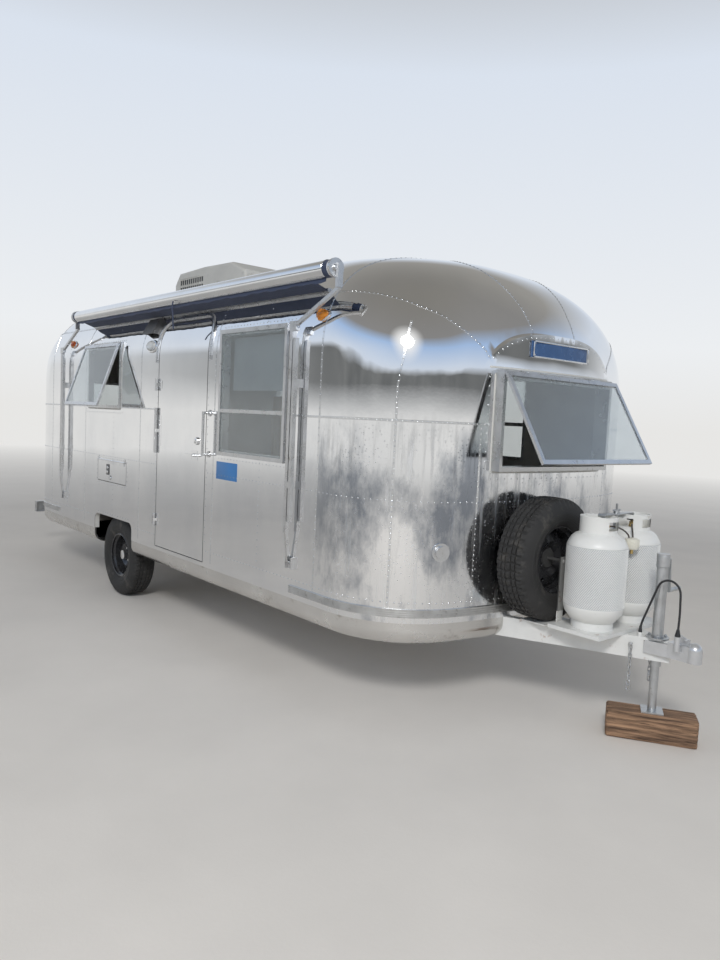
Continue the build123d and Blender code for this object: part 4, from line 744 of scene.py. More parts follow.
def timber(name, base, dark, length_axis, scale, turn=0.0):
    """Sawn wood: long grain, fine fibres and splits."""
    m, g = tree(name)
    lie = g.nodes.new("ShaderNodeMapping")
    lie.inputs["Rotation"].default_value = (0.0, 0.0, -turn)
    g.links.new(g.spot(), lie.inputs["Vector"])

    def grain(across, on, size, detail, rough):
        """Noise that is drawn out along the wood."""
        stretch = [across * scale] * 3
        stretch[length_axis] = on * scale
        return g.noise(lie.outputs["Vector"], size, detail, tuple(stretch), rough)

    long = grain(15.0, 0.9, 2.2, 8.0, 0.65)
    fibre = grain(60.0, 2.0, 1.6, 6.0, 0.7)
    col = g.ramp(long, (0.36, dark), (0.50, base), (0.66, tuple(min(1, c * 1.9) for c in base)))
    col = g.blend(g.span(fibre, 0.44, 0.33), col, tuple(c * 0.35 for c in dark))
    g.set(Base_Color=col, Roughness=0.85)
    g.bump(fibre, 0.5, 0.002)
    return m


def darken_above(m, height, x_limit, colour):
    """Near-black colour over the part of a piece that stands above a height and behind a place."""
    g = Graph(m.node_tree)
    axes = g.axes(g.spot())
    up = g.span(axes["Z"], height, height + 0.004)
    back = g.span(axes["X"], x_limit, x_limit - 0.004)
    old = g.shader.inputs["Base Color"].links[0].from_socket
    g.set(Base_Color=g.blend(g.times(up, back), old, colour))


# Name, colour, metal and roughness, then what else finish takes: how much the colour varies and at what
# scale, the grain, the dirt, the clear coat and how much the gloss varies
FINISHES = {
    "seam": ("seam_strip", (0.74, 0.75, 0.76), 1.0, 0.16, 0.08, 9.0, (120.0, 0.1, 0.0004)),
    "rivet": ("rivet_head", (0.80, 0.81, 0.82), 1.0, 0.20, 0.14, 40.0, None),
    "satin": ("satin_extrusion", (0.66, 0.665, 0.67), 1.0, 0.30, 0.10, 12.0, (150.0, 0.12, 0.0004),
              ((0.40, 0.39, 0.37), 0.12, 14.0)),
    "belly": ("dull_belly_sheet", (0.72, 0.71, 0.69), 1.0, 0.24, 0.10, 3.5, (30.0, 0.25, 0.0015),
              ((0.42, 0.39, 0.35), 0.12, 6.0)),
    "lining": ("pale_lining", (0.70, 0.69, 0.65), 0.0, 0.6, 0.05, 5.0, (90.0, 0.1, 0.0005)),
    "rail": ("ribbed_rail", (0.60, 0.60, 0.59), 1.0, 0.34, 0.12, 16.0, (70.0, 0.2, 0.0006),
             ((0.35, 0.34, 0.32), 0.15, 22.0)),
    "tongue": ("tongue_paint", (0.78, 0.775, 0.745), 0.0, 0.45, 0.07, 7.0, (55.0, 0.25, 0.0007),
               ((0.36, 0.22, 0.14), 0.05, 16.0), 0.25),
    "frame_black": ("chassis_black", (0.035, 0.034, 0.033), 0.0, 0.55, 0.2, 6.0, (40.0, 0.3, 0.001),
                    ((0.16, 0.10, 0.06), 0.2, 9.0)),
    "wheel": ("wheel_black", (0.045, 0.045, 0.048), 0.35, 0.26, 0.2, 14.0, (60.0, 0.2, 0.0005),
              ((0.12, 0.11, 0.10), 0.1, 30.0), 0.3),
    "zinc": ("zinc_plate", (0.56, 0.57, 0.575), 0.9, 0.38, 0.12, 18.0, (80.0, 0.25, 0.0006),
             ((0.38, 0.37, 0.35), 0.15, 20.0)),
    "silver": ("silver_paint", (0.66, 0.665, 0.67), 0.7, 0.35, 0.08, 12.0, (70.0, 0.2, 0.0005),
               ((0.30, 0.27, 0.24), 0.1, 18.0)),
    "chrome": ("bright_chrome", (0.80, 0.81, 0.82), 1.0, 0.07, 0.04, 10.0, None, None, 0.0, 0.03),
    "brass": ("valve_brass", (0.66, 0.48, 0.20), 1.0, 0.32, 0.12, 25.0, (90.0, 0.15, 0.0004)),
    "tank": ("tank_enamel", (0.85, 0.845, 0.81), 0.0, 0.38, 0.035, 5.0, (180.0, 0.25, 0.0004),
             ((0.62, 0.58, 0.50), 0.03, 12.0), 0.2),
    "tank_recess": ("tank_recess", (0.56, 0.57, 0.575), 0.0, 0.5, 0.05, 8.0, (180.0, 0.25, 0.0004)),
    "tyre": ("tyre_rubber", (0.030, 0.029, 0.028), 0.0, 0.72, 0.25, 9.0, (160.0, 0.3, 0.0006),
             ((0.085, 0.078, 0.068), 0.3, 7.0)),
    "dark_rubber": ("dark_rubber", (0.028, 0.028, 0.030), 0.0, 0.55, 0.2, 20.0, (120.0, 0.2, 0.0004)),
    "beige": ("weathered_shroud", (0.60, 0.585, 0.54), 0.0, 0.55, 0.07, 4.0, (90.0, 0.2, 0.0006),
              ((0.44, 0.42, 0.38), 0.2, 7.0)),
    "dark_grille": ("dark_grille", (0.05, 0.05, 0.05), 0.0, 0.6, 0.2, 20.0, (90.0, 0.2, 0.0005)),
    "cream": ("cream_plastic", (0.82, 0.79, 0.68), 0.0, 0.32, 0.05, 10.0, (120.0, 0.1, 0.0003), None, 0.2),
    "hood": ("hood_grey", (0.16, 0.16, 0.16), 0.6, 0.45, 0.12, 12.0, (80.0, 0.2, 0.0005)),
    "blue": ("blue_enamel", (0.045, 0.115, 0.27), 0.0, 0.25, 0.08, 14.0, (80.0, 0.08, 0.0003), None, 0.5),
    "pale_edge": ("plate_edge", (0.75, 0.76, 0.77), 1.0, 0.2, 0.06, 14.0, None),
    "sticker": ("blank_sticker", (0.05, 0.20, 0.48), 0.0, 0.4, 0.08, 10.0, (100.0, 0.1, 0.0002)),
    "pigtail": ("dark_pigtail", (0.10, 0.085, 0.075), 0.4, 0.45, 0.15, 20.0, (90.0, 0.2, 0.0004)),
    "underside": ("floor_underside", (0.085, 0.075, 0.065), 0.0, 0.8, 0.2, 5.0, (30.0, 0.35, 0.001),
                  ((0.16, 0.14, 0.12), 0.3, 4.0)),
    # Pale grey-blue of the board behind a window's upper pane: painted reflection of bright sky in the glass
    "shade": ("pale_sky_reflection_board", (0.52, 0.56, 0.60), 0.0, 0.6, 0.04, 3.0, (150.0, 0.15, 0.0004)),
    "gasket": ("window_gasket", (0.03, 0.03, 0.03), 0.0, 0.6, 0.2, 20.0, (90.0, 0.2, 0.0004)),
    "cover": ("bright_cover", (0.83, 0.84, 0.85), 1.0, 0.13, 0.05, 5.0, (60.0, 0.05, 0.0004)),
    "cap": ("pale_cap", (0.72, 0.73, 0.72), 0.0, 0.4, 0.06, 12.0, (100.0, 0.15, 0.0003)),
}
# Name, colour, thread scale, relief, sheen and variation
FABRICS = {
    "navy": ("navy_acrylic", (0.028, 0.045, 0.10), 900.0, 0.3, 0.2),
    "cushion": ("cushion_cover", (0.40, 0.44, 0.47), 800.0, 0.4, 0.35, 0.1),
    "mattress": ("mattress_ticking", (0.70, 0.69, 0.66), 800.0, 0.3, 0.3, 0.06),
}
# Name, colour, roughness, transmission and index of refraction
LENSES = {
    "glass": ("window_glass", (0.80, 0.85, 0.86), 0.01, 0.85, 1.5),
    "amber": ("amber_lens", (0.90, 0.34, 0.04), 0.12, 0.35),
    "red_amber": ("orange_lens", (0.80, 0.16, 0.03), 0.12, 0.35),
    "red": ("red_lens", (0.62, 0.02, 0.02), 0.12, 0.35),
    "clear": ("ribbed_clear_lens", (0.93, 0.94, 0.93), 0.06, 0.6),
}


def make_materials():
    """All materials by key."""
    M = {key: finish(*row) for key, row in FINISHES.items()}
    M.update({key: fabric(*row) for key, row in FABRICS.items()})
    M.update({key: glass_like(*row) for key, row in LENSES.items()})
    # Near-black over the tongue frame's spare carrier behind the gas cylinders, to tone its disc down beside the
    # dark tyre
    darken_above(M["tongue"], 0.600, -0.460, (0.075, 0.074, 0.072))
    M["skin"] = mirror_metal("polished_skin", 1.0)
    M["skin_clean"] = mirror_metal("polished_skin_upper", 0.35)
    M["block"] = timber("block_timber", (0.262, 0.158, 0.094), (0.076, 0.043, 0.028), 0, 1.7, BLOCK_TURN)
    M["ply"] = timber("cupboard_ply", (0.58, 0.40, 0.23), (0.42, 0.27, 0.14), 2, 0.7)
    return M


# The solids that get each finish
NODE_FINISH = {
    "lining": "front_end_lower front_end_upper rear_end_lower rear_end_upper side_right side_left roof "
              "door_panel",
    "skin": "hatch_lid",
    "belly": "belly_wrap",
    "tongue": "tongue_frame",
    "frame_black": "chassis_rails chassis_members axle",
    "underside": "floor",
    "tyre": "tyre_right tyre_left spare_tyre",
    "wheel": "rim_right rim_left spare_rim",
    "chrome": "hub_right hub_left door_fittings porch_lamp",
    "rail": "rub_rails",
    "satin": "window_frames frame_front frame_curb_rear sashes_shut sash_front sash_curb_rear door_surround "
             "awning_roller awning_rail awning_arms nose_cap roof_vent",
    "glass": "panes_shut pane_front pane_curb_rear",
    "navy": "awning_cloth",
    "amber": "marker_lamps",
    "red": "tail_lamps",
    "hood": "vent_hood",
    "blue": "name_plate",
    "beige": "roof_air_unit",
    "cream": "roof_vent_lid",
    "zinc": "rear_bumper tongue_jack safety_chains",
    "tank": "gas_cylinders",
    "brass": "gas_fittings",
    "block": "timber_block",
    "silver": "coupler",
    "ply": "front_sofa cabinets rear_bed",
    "dark_rubber": "umbilical_cable",
}


def dress_nodes(M):
    """Gives every solid its finish."""
    for key, names in NODE_FINISH.items():
        for name in names.split():
            slots = NODES[name].data.materials
            for k in range(len(slots)):
                slots[k] = M[key]
            if len(slots) == 0:
                slots.append(M[key])


# Skins of the body; rectangles are (x0, x1, z0, z1)

SKIN_LIFT = 0.0022
SKIN_GAP = 0.006
WINDOWS = {
    -1: [(-2.520, -1.780, 1.330, 2.120), (-4.865, -4.165, 1.590, 2.110)],
    1: [(-2.520, -1.780, 1.330, 2.120), (-3.700, -3.100, 1.590, 2.110), (-5.250, -4.550, 1.590, 2.110)],
}
DOOR = (-3.475, -2.725, 0.556, 2.244)
HATCH = (-4.625, -4.025, 0.960, 1.150)
WELL = (AXLE_X - 0.385, AXLE_X + 0.385, 0.450, 0.668)


def outward(p):
    """Direction from the middle of the cabin to a point of the skin."""
    return Vector((p.x - min(max(p.x, TAIL_POLE), NOSE_POLE), p.y, p.z - MIDDLE_Z))


def skin_level(p):
    """How far the sheet's face stands off the solid at a point."""
    return SKIN_LIFT + 0.75 * wave(p)


def normal_at(place, u, v):
    """Point and outward normal of a mapped surface."""
    e = 0.002
    p = place(u, v)
    a = place(u + e, v) - place(u - e, v)
    b = place(u, v + e) - place(u, v - e)
    n = a.cross(b)
    if n.length < 1e-12:
        n = Vector((0, 0, 1))
    n.normalize()
    if n.dot(outward(p)) < 0:
        n = -n
    return p, n


def skin(name, place, outer, holes, creases, step, mat, body="caravan"):
    """Thin closed sheet that follows a mapped surface between its outline and holes."""
    flat, tris = patch(outer, holes, creases, step)
    used = sorted({i for t in tris for i in t})
    index = {i: k for k, i in enumerate(used)}
    pts = [place(*flat[i]) for i in used]
    tris = [tuple(index[i] for i in t) for t in tris]
    normals = [Vector((0, 0, 0)) for _ in pts]
    facing = 0.0
    for t in tris:
        n = (pts[t[1]] - pts[t[0]]).cross(pts[t[2]] - pts[t[0]])
        c = (pts[t[0]] + pts[t[1]] + pts[t[2]]) / 3
        facing += n.dot(outward(c))
        for i in t:
            normals[i] += n
    sign = 1.0 if facing > 0 else -1.0
    if sign < 0:
        tris = [(a, c, b) for a, b, c in tris]
    normals = [(n * sign).normalized() for n in normals]
    count = len(pts)
    verts = [p + n * skin_level(p) for p, n in zip(pts, normals)]
    verts += [p + n * 0.0003 for p, n in zip(pts, normals)]
    faces = list(tris) + [(a + count, c + count, b + count) for a, b, c in tris]
    edges = {}
    for t in tris:
        for a, b in ((t[0], t[1]), (t[1], t[2]), (t[2], t[0])):
            edges[(a, b)] = edges.get((a, b), 0) + 1
    for a, b in edges:
        if (b, a) not in edges:
            faces.append((a, a + count, b + count, b))
    s = Shape()
    s.add(verts, faces)
    return s.make(name, [mat], body, sharp=26.0)


def loop_of(points, closed=True, step=0.04):
    """Points resampled no further apart than step."""
    out = []
    for p, q in zip(points, points[1:] + (points[:1] if closed else [])):
        n = max(1, math.ceil(math.dist(p, q) / step))
        out += [(p[0] + (q[0] - p[0]) * k / n, p[1] + (q[1] - p[1]) * k / n) for k in range(n)]
    if not closed:
        out.append(points[-1])
    return out


def brow_arch(grow, cells, lowest):
    """Outline of the arched panel over the front window, above a height, as the nose's parameters."""
    arch = []
    for k in range(cells + 1):
        t = math.pi * (k / cells)
        c = math.cos(t)
        y = (BROW_HALF + grow) * math.copysign(abs(c) ** (2 / BROW_POWER), c)
        z = BROW_BASE + (BROW_TOP - BROW_BASE + grow) * math.sin(t) ** (2 / BROW_POWER)
        if z > lowest:
            arch.append((end_u(y, z), end_v(z)))
    return arch


def build_skins(M, step):
    """Polished sheets over the walls, ends, roof, door and hatch."""
    clean = M["skin_clean"]
    top = side_v(ROOF_SEAM_Z)
    for sign, name in ((-1, "skin_side_curb"), (1, "skin_side_street")):
        outer = loop_of([(TAIL_POLE, 0.0), (NOSE_POLE, 0.0), (NOSE_POLE, top), (TAIL_POLE, top)])
        holes = [up_side(rounded(*grown(window, 0.012), 0.02)) for window in WINDOWS[sign]]
        holes.append([(x, z - SKIN_BOTTOM) for x, z in rounded(*WELL, 0.06, lower=0.001)])
        if sign < 0:
            holes.append(up_side(rounded(*DOOR, 0.13, lower=0.001)))
            holes.append(up_side(rounded(*HATCH, 0.02)))
        skin(name, on_side(sign), outer, holes, [], step, clean)
    door = up_side(rounded(*grown(DOOR, -SKIN_GAP), 0.124, lower=0.001))
    skin("skin_door", on_side(-1), door, [], [], step, clean, "door")
    hatch = up_side(rounded(*grown(HATCH, -SKIN_GAP), 0.015))
    skin("skin_hatch", on_side(-1), hatch, [], [], step, clean, "hatch")
    top = END_S[-1] - 0.003
    outer = loop_of([(-HALF_PI, 0.0), (HALF_PI, 0.0), (HALF_PI, top), (-HALF_PI, top)])
    window = up_end(rounded(-0.532, 0.532, 1.338, 1.882, 0.02))
    creases = [brow_arch(grow, 60, END_ARC_Z + 0.06) for grow in (0.0, 0.010)]
    skin("skin_nose", on_end(True), outer, [window], creases, step, M["skin"])
    skin("skin_tail", on_end(False), outer, [window], [], step, clean)
    edge = ROOF_S[-1]
    outer = loop_of([(TAIL_POLE, -edge), (NOSE_POLE, -edge), (NOSE_POLE, edge), (TAIL_POLE, edge)])
    skin("skin_roof", on_roof, outer, [], [], step * 1.2, clean)


# Seams and rivets

STRIP_H = 0.0009
SEAM_RIVET_R = 0.0050
COLUMNS = {
    -1: [TAIL_POLE, NOSE_POLE, -2.62, -3.78, -4.93],
    1: [TAIL_POLE, NOSE_POLE, -2.62, -3.78, -4.44, -5.36],
}
STIFFENERS = {-1: [-2.05, -3.10, -4.30, -5.36], 1: [-2.05, -3.10, -5.36, -4.00]}
RIVET_LINES = (0.640, 1.18)
ROOF_SEAMS = (-2.05, -3.20, -3.55, -4.95, NOSE_POLE, TAIL_POLE)
DOME_SEAMS = (
    ((-1.539, 1.055, 2.305), (-1.335, 1.040, 2.290), (-1.182, 0.993, 2.269), (-1.051, 0.930, 2.232),
     (-0.942, 0.850, 2.184), (-0.887, 0.791, 2.151), (-0.839, 0.725, 2.104), (-0.812, 0.673, 2.066),
     (-0.776, 0.588, 1.999), (-0.757, 0.560, 1.950)),
    ((-1.440, 0.36, 2.600), (-1.198, 0.32, 2.539), (-1.096, 0.30, 2.495), (-1.0, 0.275, 2.431),
     (-0.908, 0.247, 2.347), (-0.838, 0.220, 2.262), (-0.784, 0.207, 2.169), (-0.757, 0.204, 2.126)),
)


def strip(shape, place, line, width, height=0.0009):
    """Lapped strip along a line of surface parameters."""
    pts = [normal_at(place, u, v) for u, v in line]
    verts = []
    for k, (p, n) in enumerate(pts):
        a = pts[max(0, k - 1)][0]
        b = pts[min(len(pts) - 1, k + 1)][0]
        side = (b - a).cross(n).normalized()
        lift = skin_level(p)
        for off, h in ((-0.5, -0.0004), (-0.46, height), (0.46, height), (0.5, -0.0004)):
            verts.append(p + side * width * off + n * (lift + h))
    shape.add(verts, quads(len(pts), 4))


def along(points, step):
    """Points at equal steps along a line of parameters."""
    out = [points[0]]
    rest = step
    for p, q in zip(points, points[1:]):
        d = math.dist(p, q)
        at = rest
        while at <= d:
            out.append((p[0] + (q[0] - p[0]) * at / d, p[1] + (q[1] - p[1]) * at / d))
            at += step
        rest = at - d
    return out


def within(p, boxes):
    """True if a point lies in one of the rectangles (x0, x1, z0, z1)."""
    return any(x0 < p[0] < x1 and z0 < p[1] < z1 for x0, x1, z0, z1 in boxes)


def rivet_row(shape, place, line, pitch, height=0.0, skip=()):
    """Rivet heads at equal distances along a line of parameters, on a strip of a height."""
    last = None
    travelled = pitch * 0.5
    for u, v in along(line, 0.004):
        p, n = normal_at(place, u, v)
        if last is not None:
            travelled += (p - last).length
        last = p
        if travelled >= pitch:
            travelled -= pitch
            if not within((p.x, p.z), skip):
                shape.rivet(p + n * (skin_level(p) + height), n, SEAM_RIVET_R, SEAM_RIVET_R * 0.42, 1)


def rivet_bends(shape, place, ring):
    """Rivets on the short stretches of a ring that was cut open, two points at a time."""
    for a, b in zip(ring, ring[1:]):
        if math.dist(a, b) < 0.08:
            rivet_row(shape, place, [a, b], 0.045)


def seams_of_side(s, sign, pitch):
    """Belt, column and roof seams of one side, and the rivets round its windows and wheel well."""
    place = on_side(sign)
    windows = [grown(window, 0.03) for window in WINDOWS[sign]]
    skip = list(windows)
    if sign < 0:
        skip += [(DOOR[0] - 0.012, DOOR[1] + 0.012, 0.40, DOOR[3]), grown(HATCH, 0.01)]
    well = (WELL[0] - 0.01, WELL[1] + 0.01, 0.40, WELL[3] + 0.01)
    top = side_v(ROOF_SEAM_Z)
    belt = side_v(BELT_Z)
    spans = [(TAIL_POLE, NOSE_POLE)]
    for x0, x1, z0, z1 in skip:
        if z0 < BELT_Z < z1:
            spans = [t for a, b in spans for t in ((a, min(b, x0)), (max(a, x1), b)) if t[1] - t[0] > 0.02]
    for a, b in spans:
        strip(s, place, [(x, belt) for x in evenly(a, b, 30)], 0.014)
        rivet_row(s, place, [(a + 0.01, belt), (b - 0.01, belt)], pitch * 0.7, STRIP_H)
    for x in COLUMNS[sign]:
        line = [(x, 0.035 + (top - 0.035) * k / 120) for k in range(121)]
        run = []
        for u, v in line + [(None, None)]:
            if u is not None and not within((u, place(u, v).z), skip + [well]):
                run.append((u, v))
                continue
            if len(run) > 3:
                strip(s, place, run, 0.015)
            run = []
        rivet_row(s, place, line, pitch, STRIP_H, skip=skip + [well])
    for x in STIFFENERS[sign]:
        for low, high in ((side_v(0.66), side_v(1.585)), (side_v(1.62), top - 0.02)):
            rivet_row(s, place, [(x, low), (x, high)], pitch * 1.15, skip=skip + [well])
    for z in RIVET_LINES:
        rivet_row(s, place, up_side([(TAIL_POLE, z), (NOSE_POLE, z)]), pitch,
                  skip=skip + [(well[0] - 0.03, well[1] + 0.03, 0.4, 0.74)])
    strip(s, place, [(x, top - 0.002) for x in evenly(TAIL_POLE, NOSE_POLE, 60)], 0.018, 0.0011)
    rivet_row(s, place, [(TAIL_POLE, top - 0.004), (NOSE_POLE, top - 0.004)], pitch, STRIP_H)
    for window in windows:
        ring = up_side(rounded(*grown(window, 0.008), 0.01, 0.05))
        rivet_row(s, place, ring + ring[:1], pitch)
    ring = rounded(WELL[0] - 0.022, WELL[1] + 0.022, 0.615, WELL[3] + 0.022, 0.07, 0.05, lower=0.001)
    ring = [(x, z - SKIN_BOTTOM) for x, z in ring]
    rivet_bends(s, place, [q for q in ring if q[1] > side_v(0.64)])


def seams_of_end(s, front, pitch):
    """Belt and dome seams of one end, and the rivets round its window and arched panel."""
    place = on_end(front)
    belt = end_v(BELT_Z)
    limit = end_u(0.548, BELT_Z)
    for a, b in ((-HALF_PI, -limit), (limit, HALF_PI)):
        line = [(u, belt) for u in evenly(a, b, 60)]
        strip(s, place, line, 0.014)
        rivet_row(s, place, line, pitch * 0.7, STRIP_H)
    for z in RIVET_LINES:
        rivet_row(s, place, [(-HALF_PI, end_v(z)), (HALF_PI, end_v(z))], pitch)
    for side in (-1, 1):
        lines = [[(side * math.atan2(y, x - NOSE_POLE), end_v(z)) for x, y, z in seam] for seam in DOME_SEAMS]
        corner = end_u(1.024, 1.7)
        lines.append([(side * (corner - back), end_v(z))
                      for back, z in ((0.0, 0.62), (0.0, 1.78), (0.02, 1.95), (0.03, 2.12))])
        lines.append([(side * end_u(0.60, 1.3), end_v(z)) for z in (0.62, 1.585)])
        for line in lines:
            smooth = loop_of(line, False, 0.03)
            strip(s, place, smooth, 0.013)
            rivet_row(s, place, smooth, pitch * 0.75, STRIP_H)
    ring = up_end(rounded(-0.562, 0.562, 1.308, 1.9 if front else 1.91, 0.02, 0.05))
    if front:
        ring = [q for q in ring if q[1] < end_v(1.89)]
    rivet_bends(s, place, ring)
    if front:
        rivet_row(s, place, brow_arch(-0.016, 80, 1.93), pitch)


def build_seams(M, pitch):
    """Lapped strips and rivet rows over the panel joints."""
    s = Shape()
    for sign in (-1, 1):
        seams_of_side(s, sign, pitch)
    place = on_side(-1)
    ring = rounded(DOOR[0] - 0.016, DOOR[1] + 0.016, 0.63, DOOR[3] + 0.016, 0.146, 0.05, lower=0.001)
    rivet_bends(s, place, [q for q in up_side(ring) if q[1] > side_v(0.64)])
    ring = up_side(rounded(*grown(HATCH, 0.014), 0.03, 0.05))
    rivet_row(s, place, ring + ring[:1], pitch)
    for front in (True, False):
        seams_of_end(s, front, pitch)
    edge = ROOF_S[-1] - 0.02
    for x in ROOF_SEAMS:
        line = [(x, -edge + 2 * edge * k / 80) for k in range(81)]
        strip(s, on_roof, line, 0.016, 0.0011)
        rivet_row(s, on_roof, line, pitch * 1.1, STRIP_H)
    s.make("seams_and_rivets", [M["seam"], M["rivet"]], "caravan", sharp=50.0)


# Wheels

SIPE_DEPTH = 0.0075
NOTCH_DEPTH = 0.007
TYRE_PROFILE = [
    (0.187, -0.080), (0.192, -0.086), (0.205, -0.093), (0.222, -0.099), (0.2245, -0.0975), (0.228, -0.100),
    (0.258, -0.1020), (0.2605, -0.1005), (0.263, -0.1018), (0.290, -0.0985), (0.306, -0.0945), (0.320, -0.088),
    (0.3325, -0.0795), (0.3385, -0.0705), (0.3402, -0.0560), (0.3395, -0.0490), (0.3322, -0.0480),
    (0.3322, -0.0420), (0.3410, -0.0410), (0.3415, -0.0220), (0.3335, -0.0210), (0.3335, -0.0150),
    (0.3418, -0.0140), (0.3420, 0.0),
]


def tread_tyre(s, centre):
    """Tyre with four circumferential ribs cut by slanted sipes, shoulder blocks and a moulded sidewall."""
    cells = 192
    full = TYRE_PROFILE + [(r, -y) for r, y in reversed(TYRE_PROFILE[:-1])]
    verts = []
    for k in range(cells):
        for r, y in full:
            edge = abs(y)
            a = 2 * math.pi * (k + (0.35 * math.sin(y * 60.0) if edge < 0.075 else 0.0)) / cells
            if r > 0.334 and edge < 0.075 and k % 4 == 0:
                r -= SIPE_DEPTH
            elif 0.314 < r < 0.339 and edge > 0.066 and k % 4 == 2:
                r -= NOTCH_DEPTH
            verts.append((r * math.cos(a), y, r * math.sin(a)))
    s.add(verts, quads(cells, len(full), True, True, True), 0, Matrix.Translation(centre))


def build_wheels(M):
    """Tyres with tread, and the painted steel wheels' trim: caps, rings, small dark slots and valves."""
    for side, name in ((-1, "right"), (1, "left")):
        centre = (AXLE_X, side * TRACK, TYRE_R)
        s = Shape()
        tread_tyre(s, centre)
        s.make("tyre_tread_" + name, [M["tyre"]], "wheel_" + name, ["tyre_" + name], 32.0)
        s = Shape()
        out = turned(centre, 90.0 * -side, "X")
        lo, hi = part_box("hub_" + name)
        face = max(abs(lo[1]), abs(hi[1])) - TRACK
        cap = ((0.0, 0.004), (0.018, 0.0035), (0.030, 0.001), (0.036, -0.006), (0.0385, -0.02))
        s.lathe([(r, face + z) for r, z in cap], 40, 0, out)
        s.lathe([(0.172, 0.0805), (0.176, 0.083), (0.180, 0.0835), (0.184, 0.081)], 72, 1, out)
        for k, (x, y) in enumerate(circle(10)):
            slot = out @ turned((0.143 * x, 0.143 * y, 0.0), 36.0 * k, "Z")
            s.box((-0.006, -0.0035, 0.072), (0.006, 0.0035, 0.0765), 0.0015, 2, slot)
        valve = ((0.150, 0.02, 0.05), (0.152, 0.021, 0.07), (0.155, 0.022, 0.088))
        s.tube([out @ Vector(q) for q in valve], [0.0045, 0.0045, 0.003], 10, 2)
        s.make("wheel_trim_" + name, [M["chrome"], M["wheel"], M["dark_rubber"]], "wheel_" + name)
    s = Shape()
    lo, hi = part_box("spare_tyre")
    tread_tyre(s, (0, 0, 0))
    upright = turned([(lo[k] + hi[k]) / 2 for k in range(3)], 90.0, "Z")
    s.verts = [tuple(upright @ Vector(v)) for v in s.verts]
    s.make("tyre_tread_spare", [M["tyre"]], "caravan", ["spare_tyre"], 32.0)


# Seat, bed and cushions

CABIN_HALF = 1.09
WALL_GAP = 0.046
PADDING = 0.020
SEWN_DEPTH = 0.006
SEWN_REACH = 0.02
PRESSURE = 4.0
FRAMES = 20


def puff(obj, voxel, limit):
    """Remeshes a slab and swells it by the pressure of a cloth simulation, by a limited distance."""
    mod = obj.modifiers.new("cells", "REMESH")
    mod.mode = "VOXEL"
    mod.voxel_size = voxel
    deps = bpy.context.evaluated_depsgraph_get()
    obj.data = bpy.data.meshes.new_from_object(obj.evaluated_get(deps))
    obj.modifiers.clear()
    rest = [v.co.copy() for v in obj.data.vertices]
    cloth = obj.modifiers.new("cloth", "CLOTH")
    cloth.settings.use_pressure = True
    cloth.settings.uniform_pressure_force = PRESSURE
    cloth.settings.effector_weights.gravity = 0.0
    cloth.settings.quality = 4
    scene = bpy.context.scene
    for f in range(1, FRAMES + 1):
        scene.frame_set(f)
    deps = bpy.context.evaluated_depsgraph_get()
    puffed = bpy.data.meshes.new_from_object(obj.evaluated_get(deps))
    obj.modifiers.clear()
    for v, r in zip(puffed.vertices, rest):
        d = v.co - r
        if d.length > limit:
            v.co = r + d * (limit / d.length)
    obj.data = puffed
    scene.frame_set(1)


def cushion(name, lo, hi, mat, seams, crown, seed, margin, replaces=()):
    """Padded slab swollen by cloth pressure, with sunken seams, kept clear of the curved walls."""
    size = [hi[k] - lo[k] for k in range(3)]
    bm = bmesh.new()
    bmesh.ops.create_cube(bm, size=1.0)
    for v in bm.verts:
        v.co = Vector([v.co[k] * (size[k] - PADDING) for k in range(3)])
    cuts = max(4, int(max(size) / 0.045))
    bmesh.ops.subdivide_edges(bm, edges=bm.edges[:], cuts=min(cuts, 24), use_grid_fill=True)
    me = bpy.data.meshes.new(name)
    bm.to_mesh(me)
    bm.free()
    obj = bpy.data.objects.new(name, me)
    bpy.context.scene.collection.objects.link(obj)
    puff(obj, max(size) / 45.0, crown)
    mid = Vector([(hi[k] + lo[k]) / 2 for k in range(3)])
    shift = random.Random(seed).random() * 10
    for v in obj.data.vertices:
        v.co.z += 0.003 * noise.noise(Vector((v.co.x * 6 + shift, v.co.y * 6, v.co.z * 6)))
        for y in seams:
            d = abs(v.co.y - y)
            if d < SEWN_REACH and v.co.z > 0:
                v.co.z -= SEWN_DEPTH * (1 - d / SEWN_REACH)
        v.co.z = min(max(v.co.z, -size[2] / 2), size[2] / 2 + 0.004)
        for k in range(2):
            v.co[k] = min(max(v.co[k], -size[k] / 2), size[k] / 2)
        v.co += mid
        limit = side_y(v.co.x, min(v.co.z, 1.8)) - margin
        if abs(v.co.y) > limit:
            v.co.y = math.copysign(max(0.02, limit), v.co.y)
    obj.data.materials.clear()
    obj.data.materials.append(mat)
    obj.data.shade_smooth()
    link(obj, "caravan", replaces)


def board(s, x0, x1, z0, z1):
    """Flat board across the cabin whose ends follow the walls."""
    side = [(x, min(CABIN_HALF, side_y(x, z1) - WALL_GAP)) for x in evenly(x0, x1, 12)]
    poly = side + [(x, -y) for x, y in reversed(side)]
    n = len(poly)
    verts = [(x, y, z) for z in (z0, z1) for x, y in poly]
    s.add(verts, [tuple(reversed(range(n))), tuple(range(n, 2 * n))] + quads(2, n, True))


